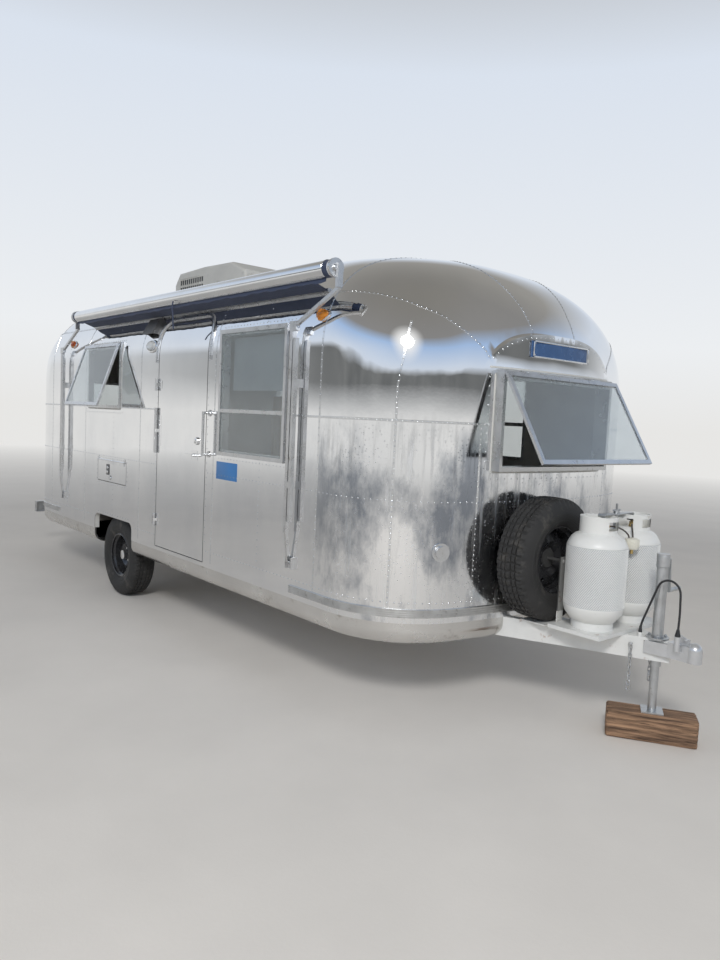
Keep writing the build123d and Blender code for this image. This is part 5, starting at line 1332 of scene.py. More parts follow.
def build_interior(M, crown):
    """Seat and bed bases with their sewn cushions, and a pale board behind a window's upper pane whose colour is a
    painted reflection of bright sky in the glass.
    """
    s = Shape()
    board(s, -1.498, -0.775, 0.852, 0.868)
    s.box((-1.498, -CABIN_HALF, 0.612), (-1.482, CABIN_HALF, 0.852), 0.002)
    for y in (-0.545, 0.0, 0.545):
        s.box((-1.503, y - 0.22, 0.66), (-1.498, y + 0.22, 0.81), 0.002, 0)
        s.tube([(-1.504, y - 0.03, 0.79), (-1.5055, y, 0.79), (-1.504, y + 0.03, 0.79)], 0.003, 8, 1)
    s.make("sofa_base", [M["ply"], M["satin"]], "caravan")
    for k in range(3):
        y0 = -1.088 + 0.727 * k
        y1 = y0 + 0.722
        cushion("seat_cushion_%d" % (k + 1), (-1.504, y0, 0.870), (-0.895, y1, 0.998), M["cushion"], [0.0],
                crown, 11 + k, 0.050, ["front_sofa"] if k == 0 else [])
        cushion("back_cushion_%d" % (k + 1), (-0.888, y0, 1.000), (-0.775, y1, 1.288), M["cushion"], [],
                crown * 0.7, 21 + k, 0.056)
    # Pale grey-blue board with two ribs behind the curb window's upper pane: its colour is a painted reflection of
    # bright sky in the glass
    s = Shape()
    s.box((-2.475, -1.0985, 1.745), (-1.825, -1.0945, 2.085), 0.001)
    for x in (-2.30, -2.00):
        s.box((x - 0.012, -1.0945, 1.76), (x + 0.012, -1.0925, 2.07), 0.0008)
    s.make("window_sky_reflection_board", [M["shade"]], "caravan")
    s = Shape()
    board(s, -6.47, -5.202, 0.942, 0.958)
    s.box((-5.218, -CABIN_HALF, 0.612), (-5.202, CABIN_HALF, 0.942), 0.002)
    s.make("bed_base", [M["ply"]], "caravan")
    cushion("bed_mattress", (-6.480, -1.088, 0.960), (-5.198, 1.088, 1.118), M["mattress"], [-0.36, 0.36],
            crown, 31, 0.052, ["rear_bed"])


# Gas cylinders

TANK_SHOULDER = DECK_TOP + 0.506
TANK_TOP = DECK_TOP + 0.597
PIGTAIL = [
    (24, 123.4, 36), (35, 104.3, 36.5), (47, 85, 35), (59, 66, 30), (71, 48.5, 21), (82, 34, 9), (91, 23, -6),
    (96, 17, -26),
]


def tank_collar(s, at, windows):
    """Collar of a gas cylinder: a rolled ring of six profile points, cut where a hand hole is."""
    n = 96
    rings = (
        (0.0935, TANK_SHOULDER - 0.012), (0.098, TANK_SHOULDER - 0.012), (0.098, TANK_TOP - 0.006),
        (0.0995, TANK_TOP - 0.003), (0.0975, TANK_TOP), (0.0935, TANK_TOP - 0.002),
    )
    sills = [(r, z) for r in (0.098, 0.0935) for z in (TANK_SHOULDER + 0.022, TANK_TOP - 0.022)]
    verts = [(r * x, r * y, z) for r, z in (*rings, *sills) for x, y in circle(n)]
    half_turn = math.pi

    def is_open(k):
        """True in a hand hole."""
        a = 2 * math.pi * (k + 0.5) / n
        return any(abs((a - c + half_turn) % (2 * math.pi) - half_turn) < w for c, w in windows)

    faces = []
    for k in range(n):
        m = (k + 1) % n
        for ring in range(6):
            if not (is_open(k) and ring in (0, 1, 5)):
                after = (ring + 1) % 6
                faces.append((ring * n + k, ring * n + m, after * n + m, after * n + k))
    o_low, o_high, i_low, i_high = [(6 + j) * n for j in range(4)]
    pairs = ((n, o_low), (o_high, 2 * n), (0, i_low), (i_high, 5 * n), (o_low, i_low), (o_high, i_high))
    for k in range(n):
        m = (k + 1) % n
        if is_open(k):
            faces += [(a + k, a + m, b + m, b + k) for a, b in pairs]
    s.add(verts, faces, 0, at)


def tank_relief(s, at, low, high):
    """Fine diagonal relief in the band of a gas cylinder: rows of small slanted ridges."""
    cells = 88
    rise = 0.0078
    for j in range(int((high - low) / rise)):
        for k in range(cells):
            a = 2 * math.pi * (k + 0.5 * (j % 2)) / cells
            along_ring = Vector((-math.sin(a), math.cos(a), 0.0))
            out = Vector((math.cos(a), math.sin(a), 0.0))
            p = out * 0.1563 + Vector((0, 0, low + 0.005 + j * rise))
            d = (along_ring + Vector((0, 0, 0.8))).normalized()
            w = d.cross(out) * 0.0019
            end = d * 0.0058
            top = out * 0.0019
            foot = [p - end - w, p - end + w, p + end + w, p + end - w]
            s.add(foot + [p - end * 0.7 + top, p + end * 0.7 + top],
                  [(0, 1, 4), (1, 2, 5, 4), (2, 3, 5), (3, 0, 4, 5)], 0, at)


def build_tanks(M):
    """White gas cylinders with an embossed band, a foot ring and a collar."""
    base = DECK_TOP
    neck = TANK_SHOULDER
    low = base + 0.124
    high = neck - 0.066
    for side, name in ((-1, "curb"), (1, "street")):
        s = Shape()
        at = Matrix.Translation((TANK_X, side * TANK_Y, 0.0))
        s.lathe([(0.0, base + 0.027), (0.070, base + 0.029), (0.117, base + 0.045), (0.149, base + 0.085),
                 (0.1565, base + 0.112), (0.1575, low - 0.003), (0.1570, low)], 96, 0, at)
        s.lathe([(0.1565, low - 0.002), (0.1565, high + 0.002)], 96, 1, at)
        s.lathe([(0.1570, high), (0.1572, high + 0.003), (0.1495, neck - 0.046), (0.136, neck - 0.022),
                 (0.121, neck - 0.008), (0.100, neck + 0.003), (0.077, neck + 0.010), (0.030, neck + 0.018),
                 (0.0, neck + 0.018)], 96, 0, at)
        s.lathe([(0.103, base), (0.1075, base), (0.108, base + 0.003), (0.108, base + 0.046),
                 (0.103, base + 0.046)], 64, 0, at, closed=True)
        tank_collar(s, at, ((-0.5 * math.pi * side, 0.62), (0.0, 0.47)))
        tank_relief(s, at, low, high)
        s.make("gas_cylinder_" + name, [M["tank"], M["tank_recess"]], "caravan",
               ["gas_cylinders"] if side < 0 else [], 40.0)


def build_controls(M):
    """Handwheels, valves, regulator, pigtails and the hold-down with its wing nut."""
    rubber, brass, cream, zinc, dark = range(5)
    middle = Matrix.Translation((TANK_X, 0, 0))
    regulator = Matrix.Translation((TANK_X + 0.104, 0, DECK_TOP + 0.455))
    s = Shape()
    for side in (-1, 1):
        at = turned((TANK_X, side * TANK_Y, TANK_SHOULDER + 0.052), -60.0 * side, "Z")
        s.lathe([(0.0, 0.0135), (0.010, 0.0135), (0.014, 0.0105), (0.020, 0.0125), (0.0265, 0.0115),
                 (0.0275, 0.006), (0.0265, 0.001), (0.020, 0.0), (0.0, 0.0)], 36, rubber, at)
        for k in range(12):
            s.box((0.0255, -0.0025, 0.001), (0.0285, 0.0025, 0.0115), 0.001, rubber,
                  at @ Matrix.Rotation(2 * math.pi * k / 12, 4, "Z"))
        s.lathe([(0.0, -0.012), (0.0125, -0.012), (0.0135, -0.010), (0.0135, 0.004), (0.0105, 0.007),
                 (0.0075, 0.016), (0.0, 0.016)], 6, brass, at @ turned((0.046, 0, -0.016), 90, "Y"))
    s.lathe([(0.0, 0.030), (0.020, 0.0295), (0.0355, 0.024), (0.0365, 0.019), (0.0355, -0.019),
             (0.0345, -0.026), (0.030, -0.031), (0.0, -0.031)], 48, cream, regulator)
    for k in range(20):
        s.box((0.0350, -0.0022, -0.016), (0.0372, 0.0022, 0.016), 0.0008, cream,
              regulator @ Matrix.Rotation(2 * math.pi * k / 20, 4, "Z"))
    for side in (-1, 1):
        at = turned((TANK_X, side * TANK_Y, 0.0), -60.0 * side, "Z")
        s.lathe([(0.017, 1.066), (0.0165, 1.076), (0.0140, 1.079), (0.0140, 1.100), (0.008, 1.104),
                 (0.008, 1.109)], 24, brass, at)
        s.tube([at @ Vector((0.0, 0, 1.092)), at @ Vector((0.040, 0, 1.092))], 0.0098, 20, brass)
        pigtail = [(TANK_X + x / 1000, -side * y / 1000, 1.056 + z / 1000) for x, y, z in PIGTAIL]
        s.tube(pigtail, 0.0042, 12, dark)
    s.tube([(TANK_X, 0, 0.552), (TANK_X, 0, 1.207)], 0.006, 16, zinc)
    for k in range(14):
        z = 1.176 + 0.002 * k
        s.lathe([(0.0058, z), (0.0067, z + 0.001), (0.0058, z + 0.002)], 16, zinc, middle)
    s.box((TANK_X - 0.022, -0.145, 1.1473), (TANK_X + 0.022, 0.145, 1.1553), 0.0025, zinc)
    for y in (-0.1425, 0.1425):
        s.box((TANK_X - 0.022, y - 0.003, 1.139), (TANK_X + 0.022, y + 0.003, 1.153), 0.0015, zinc)
    s.lathe([(0.016, 1.1550), (0.0165, 1.158), (0.0150, 1.171), (0.011, 1.174), (0.0, 1.174)],
            28, zinc, middle)
    wing = ((-0.034, 1.172, 0.0045), (-0.028, 1.171, 0.0062), (-0.012, 1.168, 0.0050),
            (0.012, 1.168, 0.0050), (0.028, 1.171, 0.0062), (0.034, 1.172, 0.0045))
    s.tube([(TANK_X, y, z) for y, z, _ in wing], [r for _, _, r in wing], 14, zinc)
    s.box((TANK_X, -0.0026, 0.993), (TANK_X + 0.110, 0.0026, 1.017), 0.001, zinc)
    s.lathe([(0.0, 0.0), (0.008, 0.0), (0.008, -0.026), (0.0, -0.026)], 20, brass,
            Matrix.Translation((TANK_X + 0.104, 0, DECK_TOP + 0.425)))
    s.make("gas_controls", [M[key] for key in ("dark_rubber", "brass", "cream", "zinc", "pigtail")],
           "caravan", ["gas_fittings"])


# Tongue, jack, chains, block and cable

LINK_LENGTH = 0.036
LINK_WIDTH = 0.022
LINK_BAR = 0.0058
LINK_NEST = 0.006
LINK_PLAY = 0.0003
BLOCK_HALF = (0.225, 0.075, 0.0725)
AT_FACE = 1e-5
CHAINS = [(-0.095, -1, 8), (-0.070, 1, 7)]
HOOK = [
    (0.006, -0.004), (0.0115, -0.010), (0.0105, -0.020), (0.004, -0.0275), (-0.004, -0.0275),
    (-0.0105, -0.020), (-0.0115, -0.006), (-0.0105, 0.010), (-0.0085, 0.020), (-0.003, 0.0275),
    (0.003, 0.0275), (0.0085, 0.020), (0.0095, 0.010), (0.006, 0.004), (-0.0095, 0.002),
]
CABLE = [
    (-0.07, -0.05, 0.558), (-0.07, -0.05, 0.584), (-0.062, -0.051, 0.618), (-0.0474, -0.0526, 0.6553),
    (-0.0304, -0.0546, 0.7002), (-0.0126, -0.0564, 0.7469), (0.0011, -0.0575, 0.7834), (0.013, -0.058, 0.8152),
    (0.0218, -0.058, 0.8324), (0.0356, -0.058, 0.8462), (0.0528, -0.058, 0.855), (0.072, -0.058, 0.858),
    (0.0912, -0.058, 0.855), (0.1084, -0.058, 0.8462), (0.1222, -0.058, 0.8324), (0.131, -0.058, 0.8152),
    (0.134, -0.058, 0.796), (0.135, -0.0575, 0.76), (0.137, -0.057, 0.708), (0.136, -0.0565, 0.656),
    (0.134, -0.056, 0.622), (0.134, -0.056, 0.584),
]


def chain_link(s, at):
    """Welded link: a stadium of round bar standing along Z in the Y, Z plane."""
    r = (LINK_WIDTH - LINK_BAR) / 2
    half = (LINK_LENGTH - LINK_BAR) / 2 - r
    pts = []
    for start, middle in ((0.0, half), (math.pi, -half)):
        for k in range(9):
            a = start + math.pi * k / 8
            pts.append(at @ Vector((0, r * math.cos(a), middle + r * math.sin(a))))
    s.tube(pts, LINK_BAR / 2, 8, 0, closed=True)


def build_cable(M):
    """Flexible electric cable from the gland over the tongue to its parking socket."""
    cu = bpy.data.curves.new("tongue_cable", "CURVE")
    cu.dimensions = "3D"
    sp = cu.splines.new("NURBS")
    sp.points.add(len(CABLE) - 1)
    for k, p in enumerate(CABLE):
        sp.points[k].co = (*p, 1.0)
    sp.order_u = 3
    sp.use_endpoint_u = True
    sp.resolution_u = 8
    cu.bevel_depth = 0.0055
    cu.bevel_resolution = 5
    cu.use_fill_caps = True
    cu.materials.append(M["dark_rubber"])
    obj = link(bpy.data.objects.new("tongue_cable", cu), "caravan", ["umbilical_cable"])
    s = Shape()
    gland = ((-0.07, -0.05, 0.552), (-0.07, -0.05, 0.560), (-0.07, -0.05, 0.574), (-0.0695, -0.0501, 0.590))
    s.tube(gland, [0.0105, 0.0098, 0.0080, 0.0062], 20)
    plug = [(0.134, -0.056, z) for z in (0.578, 0.592, 0.606, 0.622)]
    s.tube(plug, [0.0145, 0.0130, 0.0090, 0.0064], 20)
    for k in range(5):
        z = 0.590 + 0.006 * k
        r = 0.0132 - 0.0011 * k
        bead = [(r - 0.001, z - 0.0012), (r + 0.0006, z - 0.001), (r + 0.0006, z + 0.001), (r - 0.001, z + 0.0012)]
        s.lathe(bead, 24, 0, Matrix.Translation((0.134, -0.056, 0)))
    relief = s.make("cable_relief", [M["dark_rubber"]], "caravan")


def build_chains(M):
    """Safety chains of round bar links, with their eye bolts and hooks."""
    s = Shape()
    slope = math.tan(math.radians(24.3))
    top = 0.420 + 0.075
    for x, side, count in CHAINS:
        y = side * ((0.075 - x) * slope + 0.012)
        s.tube([(x, y - side * 0.012, top), (x, y + side * 0.0125, top)], 0.0052, 12)
        s.lathe([(0.0, 0.004), (0.007, 0.0035), (0.010, 0.0), (0.010, -0.003)], 20, 0,
                turned((x, y + side * 0.0095, top), -90 * side, "X"))
        pitch = LINK_LENGTH - 2 * LINK_NEST - LINK_PLAY
        z = top - 0.005 - LINK_PLAY - (LINK_LENGTH / 2 - LINK_NEST)
        for k in range(count):
            chain_link(s, turned((x, y, z - k * pitch), 0 if k % 2 else 90, "Z"))
        last = z - (count - 1) * pitch
        hook = last - LINK_LENGTH / 2 + LINK_NEST + LINK_PLAY + 0.007 - 0.032
        at = turned((x, y, hook), 0 if count % 2 else 90, "Z")
        s.tube([at @ Vector((0, *p)) for p in HOOK], [0.0026] + [0.0036] * 13 + [0.003], 8)
        latch = ((-0.011, -0.002), (0.002, -0.006), (0.0095, -0.010))
        s.tube([at @ Vector((0, *p)) for p in latch], 0.0014, 6)
    s.make("chains_and_hooks", [M["zinc"]], "caravan", ["safety_chains"])


def build_jack_trim(M):
    """Cap, collars and flange bolts of the tongue jack."""
    s = Shape()
    s.lathe([(0.0, 0.9795), (0.012, 0.979), (0.027, 0.977), (0.0325, 0.973), (0.0335, 0.968)], 40)
    for z in (0.545, 0.9055):
        s.lathe([(0.0290, z), (0.0315, z + 0.001), (0.0315, z + 0.005), (0.0290, z + 0.006)], 40)
    for k in range(3):
        a = math.radians(60 + 120 * k)
        at = Matrix.Translation((0.046 * math.cos(a), 0.046 * math.sin(a), 0.544))
        s.lathe([(0.0, 0.0085), (0.0075, 0.008), (0.0085, 0.006), (0.0085, 0.0)], 6, 0, at)
        s.lathe([(0.0, 0.0125), (0.004, 0.012), (0.0045, 0.0085)], 12, 0, at)
    s.make("jack_trim", [M["zinc"]], "caravan")


def split_depth(p):
    """How far the block's weathered surface lies in (below 0) at a point, before the edges are worn."""
    lengthways = Vector((p.x * 3, p.y * 26, p.z * 26))
    depth = 0.0030 * noise.noise(lengthways) + 0.0016 * noise.noise(lengthways * 2.3)
    if p.y < -BLOCK_HALF[1] + AT_FACE:
        depth -= 0.004 * max(0.0, 1 - abs(p.z - 0.010 * math.sin(p.x * 9)) / 0.006)
        depth -= 0.003 * max(0.0, 1 - abs(p.z + 0.034 - 0.006 * math.sin(p.x * 7)) / 0.005)
    if p.x > BLOCK_HALF[0] - AT_FACE:
        ring = math.hypot(p.y + 0.01, p.z + 0.02)
        check = abs(math.atan2(p.z + 0.02, p.y + 0.01) - 1.1) / 0.12
        depth += 0.0008 * math.sin(ring * 420) - 0.004 * max(0.0, 1 - check)
    return depth


def build_block(M):
    """Sawn timber block under the jack, with splits, end rings and worn edges."""
    cells = (44, 14, 14)
    grid = {}
    verts = []
    faces = []

    def vert(*cell):
        """Number of the point at a corner of the grid, made when it is first asked for."""
        if cell not in grid:
            p = Vector([BLOCK_HALF[k] * (2 * cell[k] / cells[k] - 1) for k in range(3)])
            depth = split_depth(p)
            at_face = [abs(abs(p[k]) - BLOCK_HALF[k]) < AT_FACE for k in range(3)]
            wear = 0.0
            if sum(at_face) >= 2:
                wear = 0.004 + 0.004 * max(0.0, noise.noise(p * 8))
            for k in range(3):
                if at_face[k]:
                    p[k] -= math.copysign(wear, p[k])
                    p[k] -= math.copysign(min(depth, 0.0), p[k])
            grid[cell] = len(verts)
            verts.append(p)
        return grid[cell]

    def face(i, j, k, u, v, flip):
        """One face of the block between four corners of the grid."""
        corners = [(0, 0), (1, 0), (1, 1), (0, 1)]
        f = [vert(*[c + a * du + b * dv for c, du, dv in zip((i, j, k), u, v)]) for a, b in corners]
        faces.append(tuple(reversed(f)) if flip else tuple(f))

    nx, ny, nz = cells
    for j in range(ny):
        for k in range(nz):
            for i, flip in ((0, True), (nx, False)):
                face(i, j, k, (0, 1, 0), (0, 0, 1), flip)
    for i in range(nx):
        for k in range(nz):
            for j, flip in ((0, False), (ny, True)):
                face(i, j, k, (1, 0, 0), (0, 0, 1), flip)
        for j in range(ny):
            for k, flip in ((0, True), (nz, False)):
                face(i, j, k, (1, 0, 0), (0, 1, 0), flip)
    s = Shape()
    s.add(verts, faces)
    obj = s.make("timber_block_split", [M["block"]], "caravan", ["timber_block"], 50.0)
    obj.data.transform(Matrix.Translation((0, 0, BLOCK_HALF[2])) @ Matrix.Rotation(BLOCK_TURN, 4, "Z"))


# Awning, lamps, roof unit and door trim

AWNING_Y = -1.215
AWNING_Z = 2.385
AWNING_X = (-4.995, -1.305)
AWNING_COVER = (AWNING_X[0] + 0.05, AWNING_X[1] - 0.05)
STRAP_X = -3.05
STRAP = (
    (0.0, -0.048, -0.030), (-0.004, -0.052, -0.075), (0.006, -0.050, -0.125), (0.002, -0.046, -0.180),
    (0.010, -0.044, -0.225),
)
HINGES = ((0.760, 0.090), (1.440, 0.340), (1.785, 0.090))


def build_awning_cover(M):
    """Bright sheet wrapped round the rolled awning, with beaded edges."""
    s = Shape()
    ring = []
    for k in range(29):
        a = math.radians(-62 + 250 * k / 28)
        ring.append((AWNING_Y - 0.0485 * math.cos(a), AWNING_Z + 0.0485 * math.sin(a)))
    x0, x1 = AWNING_COVER
    verts = [(x, y, z) for x in evenly(x0, x1, 60) for y, z in ring]
    s.add(verts, quads(61, 29))
    for x in (x0, x1):
        s.tube([(x, y, z) for y, z in ring], 0.0016, 6)
    for y, z in (ring[0], ring[-1]):
        s.tube([(x0, y, z), (x1, y, z)], 0.0028, 8)
    s.make("awning_cover", [M["cover"]], "caravan")


def build_awning_fabric(M):
    """Navy fabric of the rolled awning: both ends of the roll, the valance and the pull strap."""
    s = Shape()
    spin = turned((0, AWNING_Y, AWNING_Z), 90, "Y")
    start, stop = AWNING_X
    for a, b in ((start + 0.004, start + 0.085), (stop - 0.085, stop - 0.004)):
        s.lathe([(0.0, a), (0.036, a), (0.0462, a + 0.002), (0.0466, (a + b) / 2), (0.0462, b - 0.002),
                 (0.036, b), (0.0, b)], 48, 0, spin)
    verts = []
    for i, x in enumerate(evenly(*AWNING_COVER, 80)):
        dip = 0.0018 * math.sin(i * 1.9) + 0.0012 * math.sin(i * 0.7)
        for dy, dz in ((-0.012, -0.0455), (-0.014, -0.056 + dip), (-0.013, -0.068 + dip * 2),
                       (-0.011, -0.068 + dip * 2), (-0.010, -0.0455)):
            verts.append((x, AWNING_Y + dy, AWNING_Z + dz))
    s.add(verts, quads(81, 5, True))
    verts = []
    for dx, dy, dz in STRAP:
        for wide, thick in ((-0.010, 0.0), (0.010, 0.0), (0.010, 0.0014), (-0.010, 0.0014)):
            verts.append((STRAP_X + dx + wide, AWNING_Y + dy + thick, AWNING_Z + dz))
    count = len(verts)
    s.add(verts, quads(len(STRAP), 4, True) + [(0, 1, 2, 3), tuple(count - 1 - j for j in range(4))])
    s.make("awning_fabric", [M["navy"]], "caravan", sharp=40.0)


def build_awning_caps(M):
    """Blank round caps on the ends of the awning's tube, each with four screws."""
    s = Shape()
    for x, degrees in zip(AWNING_X, (-90, 90)):
        cap = turned((x, AWNING_Y, AWNING_Z), degrees, "Y")
        s.lathe([(0.0, 0.006), (0.020, 0.0065), (0.040, 0.0055), (0.0465, 0.002), (0.0475, -0.004),
                 (0.0455, -0.010), (0.0, -0.010)], 48, 0, cap)
        for k in range(4):
            a = math.pi * (0.25 + 0.5 * k)
            s.lathe([(0.0, 0.0084), (0.003, 0.0080), (0.0042, 0.0052)], 10, 1,
                    cap @ Matrix.Translation((0.034 * math.cos(a), 0.034 * math.sin(a), 0)))
    s.make("awning_end_caps", [M["cap"], M["chrome"]], "caravan")


def ribbed_dome(s, at, a, b, h, ribs, mat):
    """Oval lens with ribs over its long axis, rising from a flat base."""
    n = 64
    rings = 7
    verts = []
    for ring in range(rings):
        t = ring / (rings - 1)
        f = max(math.cos(t * math.pi / 2) ** 0.7 if t < 1 else 0.0, 0.02)
        for c, d in circle(n):
            x = a * f * c
            lift = h * math.sin(t * math.pi / 2)
            if t > 0.1:
                lift += 0.0009 * math.sin(x / a * math.pi * ribs)
            verts.append((x, b * f * d, lift))
    faces = quads(rings, n, True)
    faces.append(tuple(range((rings - 1) * n, rings * n)))
    faces.append(tuple(reversed(range(n))))
    s.add(verts, faces, mat, at)


def lamp_place(x, z):
    """Point of the curb side and the matrix that stands a lamp on it, X along the body and Z outwards."""
    p, n = normal_at(on_side(-1), x, side_v(z))
    up = Vector((1, 0, 0)).cross(n).normalized()
    basis = Matrix((Vector((1, 0, 0)), -up if up.z < 0 else up, n)).transposed().to_4x4()
    return p, Matrix.Translation(p) @ basis


def build_lamps(M):
    """Oval marker lenses on bright bases and the porch lamp."""
    s = Shape()
    for x, lens in ((-1.500, 1), (-5.320, 2)):
        at = lamp_place(x, 2.165)[1]
        s.lathe([(0.0, 0.0), (0.0385, 0.0), (0.0385, 0.006), (0.034, 0.0095), (0.0, 0.0095)], 48, 0,
                at @ Matrix.Diagonal((1.65, 0.95, 1, 1)))
        ribbed_dome(s, at @ Matrix.Translation((0, 0, 0.008)), 0.052, 0.028, 0.0225, 7, lens)
    s.make("marker_lenses", [M["chrome"], M["amber"], M["red_amber"]], "caravan")
    s = Shape()
    p, at = lamp_place(-3.600, 2.075)
    reach = abs(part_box("porch_lamp")[0][1]) - abs(p.y)
    s.lathe([(0.0, 0.001), (0.060, 0.001), (0.062, 0.006), (0.057, 0.013), (0.050, 0.015), (0.0, 0.015)],
            56, 0, at @ Matrix.Diagonal((1.3, 0.82, 1, 1)))
    ribbed_dome(s, at @ Matrix.Translation((0, 0, 0.013)), 0.064, 0.040, max(0.03, reach - 0.016), 9, 1)
    s.make("porch_lamp_lens", [M["chrome"], M["clear"]], "caravan", ["porch_lamp"])


def build_roof_unit(M):
    """Louvres and screws of the roof air unit."""
    lo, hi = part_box("roof_air_unit")
    s = Shape()
    for side in (-1, 1):
        y = side * (hi[1] - 0.0005)
        inner, outer = (-0.001, 0.006) if side > 0 else (-0.006, 0.001)
        for row in range(2):
            for k in range(11):
                x = lo[0] + 0.10 + 0.040 * k
                z = lo[2] + 0.085 + row * 0.065
                s.box((x, y - 0.002, z), (x + 0.026, y + 0.003, z + 0.045), 0.002, 0)
                s.box((x - 0.002, y + inner, z + 0.042), (x + 0.028, y + outer, z + 0.047), 0.001, 1)
        for x in evenly(lo[0] + 0.06, hi[0] - 0.06, 4):
            s.rivet((x, y, lo[2] + 0.028), (0, side, 0), 0.0055, 0.002, 2)
    s.make("roof_unit_louvres", [M["dark_grille"], M["beige"], M["zinc"]], "caravan")


def build_door_screws(M):
    """Screws of the hinges and catches, and the faces of the door's lock."""
    s = Shape()
    for z, tall in HINGES:
        count = 2 if tall < 0.1 else 5
        for k in range(count):
            share = k / (count - 1)
            for height, staggered, single in ((-0.36 + 0.72 * share, (-3.520, -3.505), -3.512),
                                              (-0.24 + 0.48 * share, (-3.445, -3.428), -3.437)):
                for x in staggered if k % 2 else (single,):
                    s.rivet((x, -1.1545, z + tall * height), (0, -1, 0))
    face = turned((-2.856, -1.164, 1.391), 90, "X")
    s.lathe([(0.0, 0.0025), (0.010, 0.0022), (0.0165, 0.001), (0.0185, 0.0)], 36, 1, face)
    s.box((-0.0012, -0.006, 0.0), (0.0012, 0.006, 0.0029), 0.0002, 2, face)
    for x in (-2.920, -2.842):
        for z in (1.314, 1.266):
            s.rivet((x, -1.155, z), (0, -1, 0), 0.0034, 0.0014, 1)
    for z in (1.310, 1.590):
        for dx in (-0.015, 0.015):
            s.rivet((-2.683 + dx, -1.1578, z), (0, -1, 0), 0.0032, 0.0013, 1)
    s.make("door_screws", [M["rivet"], M["chrome"], M["gasket"]], "caravan")


def build_plates(M):
    """Blank sticker beside the door, the blank plate's bright edge and the hatch's latch."""
    s = Shape()
    s.box((-2.573, -1.1538, 1.155), (-2.310, -1.1505, 1.272), 0.0004)
    s.make("blank_sticker", [M["sticker"]], "caravan")
    lo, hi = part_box("name_plate")
    x = hi[0] + 0.0003
    _, y0, z0 = lo
    _, y1, z1 = hi
    s = Shape()
    for a, b, c, d in ((y0, y1, z0, z0 + 0.006), (y0, y1, z1 - 0.006, z1),
                       (y0, y0 + 0.006, z0, z1), (y1 - 0.006, y1, z0, z1)):
        s.box((x - 0.0012, a - 0.0008, c - 0.0008), (x + 0.0009, b + 0.0008, d + 0.0008), 0.0004)
    for y in (y0 + 0.014, y1 - 0.014):
        for z in (z0 + 0.014, z1 - 0.014):
            s.rivet((x, y, z), (1, 0, 0), 0.0036, 0.0014)
    s.make("name_plate_edge", [M["pale_edge"]], "caravan")
    s = Shape()
    s.box((-4.430, -1.1568, 1.022), (-4.372, -1.1515, 1.112), 0.0015, 0)
    s.lathe([(0.0, 0.0045), (0.010, 0.004), (0.0125, 0.002), (0.013, 0.0)], 28, 1,
            turned((-4.401, -1.1565, 1.085), 90, "X"))
    s.box((-4.414, -1.1605, 1.034), (-4.388, -1.1565, 1.058), 0.0012, 1)
    s.make("hatch_latch", [M["hood"], M["chrome"]], "hatch")


def build_door_seal(M):
    """Dark gasket round the edge of the door."""
    s = Shape()
    line = up_side(rounded(*grown(DOOR, -0.0045), 0.126, 0.03, lower=0.001))
    pts = []
    for x, v in line + line[:1]:
        p, n = normal_at(on_side(-1), x, v)
        pts.append(p + n * 0.0006)
    s.tube(pts, 0.0030, 8)
    s.make("door_seal", [M["gasket"]], "door")


# Stage, light and camera

HORIZON = (0.80, 0.795, 0.78)
GLARE = (0.564, -0.637, 0.526)
CAMERA_SIDE = (0.759, -0.651, 0.0)
CAMERA_SPOT = (1.915, -3.728, 1.602)
CAMERA_ANGLES = (139.39, -4.64, 2.66)
FOCAL_PIXELS = 759.65
PHOTO_HEIGHT = 960.0
KEY_SPOT = (4.5, -7.0, 7.0)
KEY_AIM = (-3.0, -0.5, 1.0)


def build_floor(tone):
    """Pale floor that takes shadows near by and fades into the horizon's colour further off."""
    n = 24
    size = 240.0
    me = bpy.data.meshes.new("floor_plane")
    steps = range(n + 1)
    verts = [(-3 - size / 2 + size * i / n, -size / 2 + size * j / n, -0.0015) for i in steps for j in steps]
    me.from_pydata(verts, [], quads(n + 1, n + 1, flip=True))
    mat = finish("pale_floor", (tone, tone * 0.950, tone * 0.885), 0.0, 0.85, 0.035, 1.2, (55.0, 0.25, 0.003))
    g = Graph(mat.node_tree)
    fade = g.span(g.against("DISTANCE", g.spot(), (-3.0, 0.0, 0.0)), 7.0, 26.0)
    path = g.nodes.new("ShaderNodeLightPath").outputs
    seen = g.maths("MAXIMUM", path["Is Camera Ray"], path["Is Glossy Ray"])
    seen = g.maths("MAXIMUM", seen, path["Is Transmission Ray"])
    glow = g.nodes.new("ShaderNodeEmission")
    glow.inputs["Color"].default_value = (*HORIZON, 1)
    glow.inputs["Strength"].default_value = 1.0
    both = g.nodes.new("ShaderNodeMixShader")
    g.links.new(g.times(fade, seen), both.inputs[0])
    g.links.new(g.shader.outputs[0], both.inputs[1])
    g.links.new(glow.outputs[0], both.inputs[2])
    g.links.new(both.outputs[0], g.nodes["Material Output"].inputs["Surface"])
    me.materials.append(mat)
    floor = bpy.data.objects.new("floor_plane", me)
    bpy.context.scene.collection.objects.link(floor)


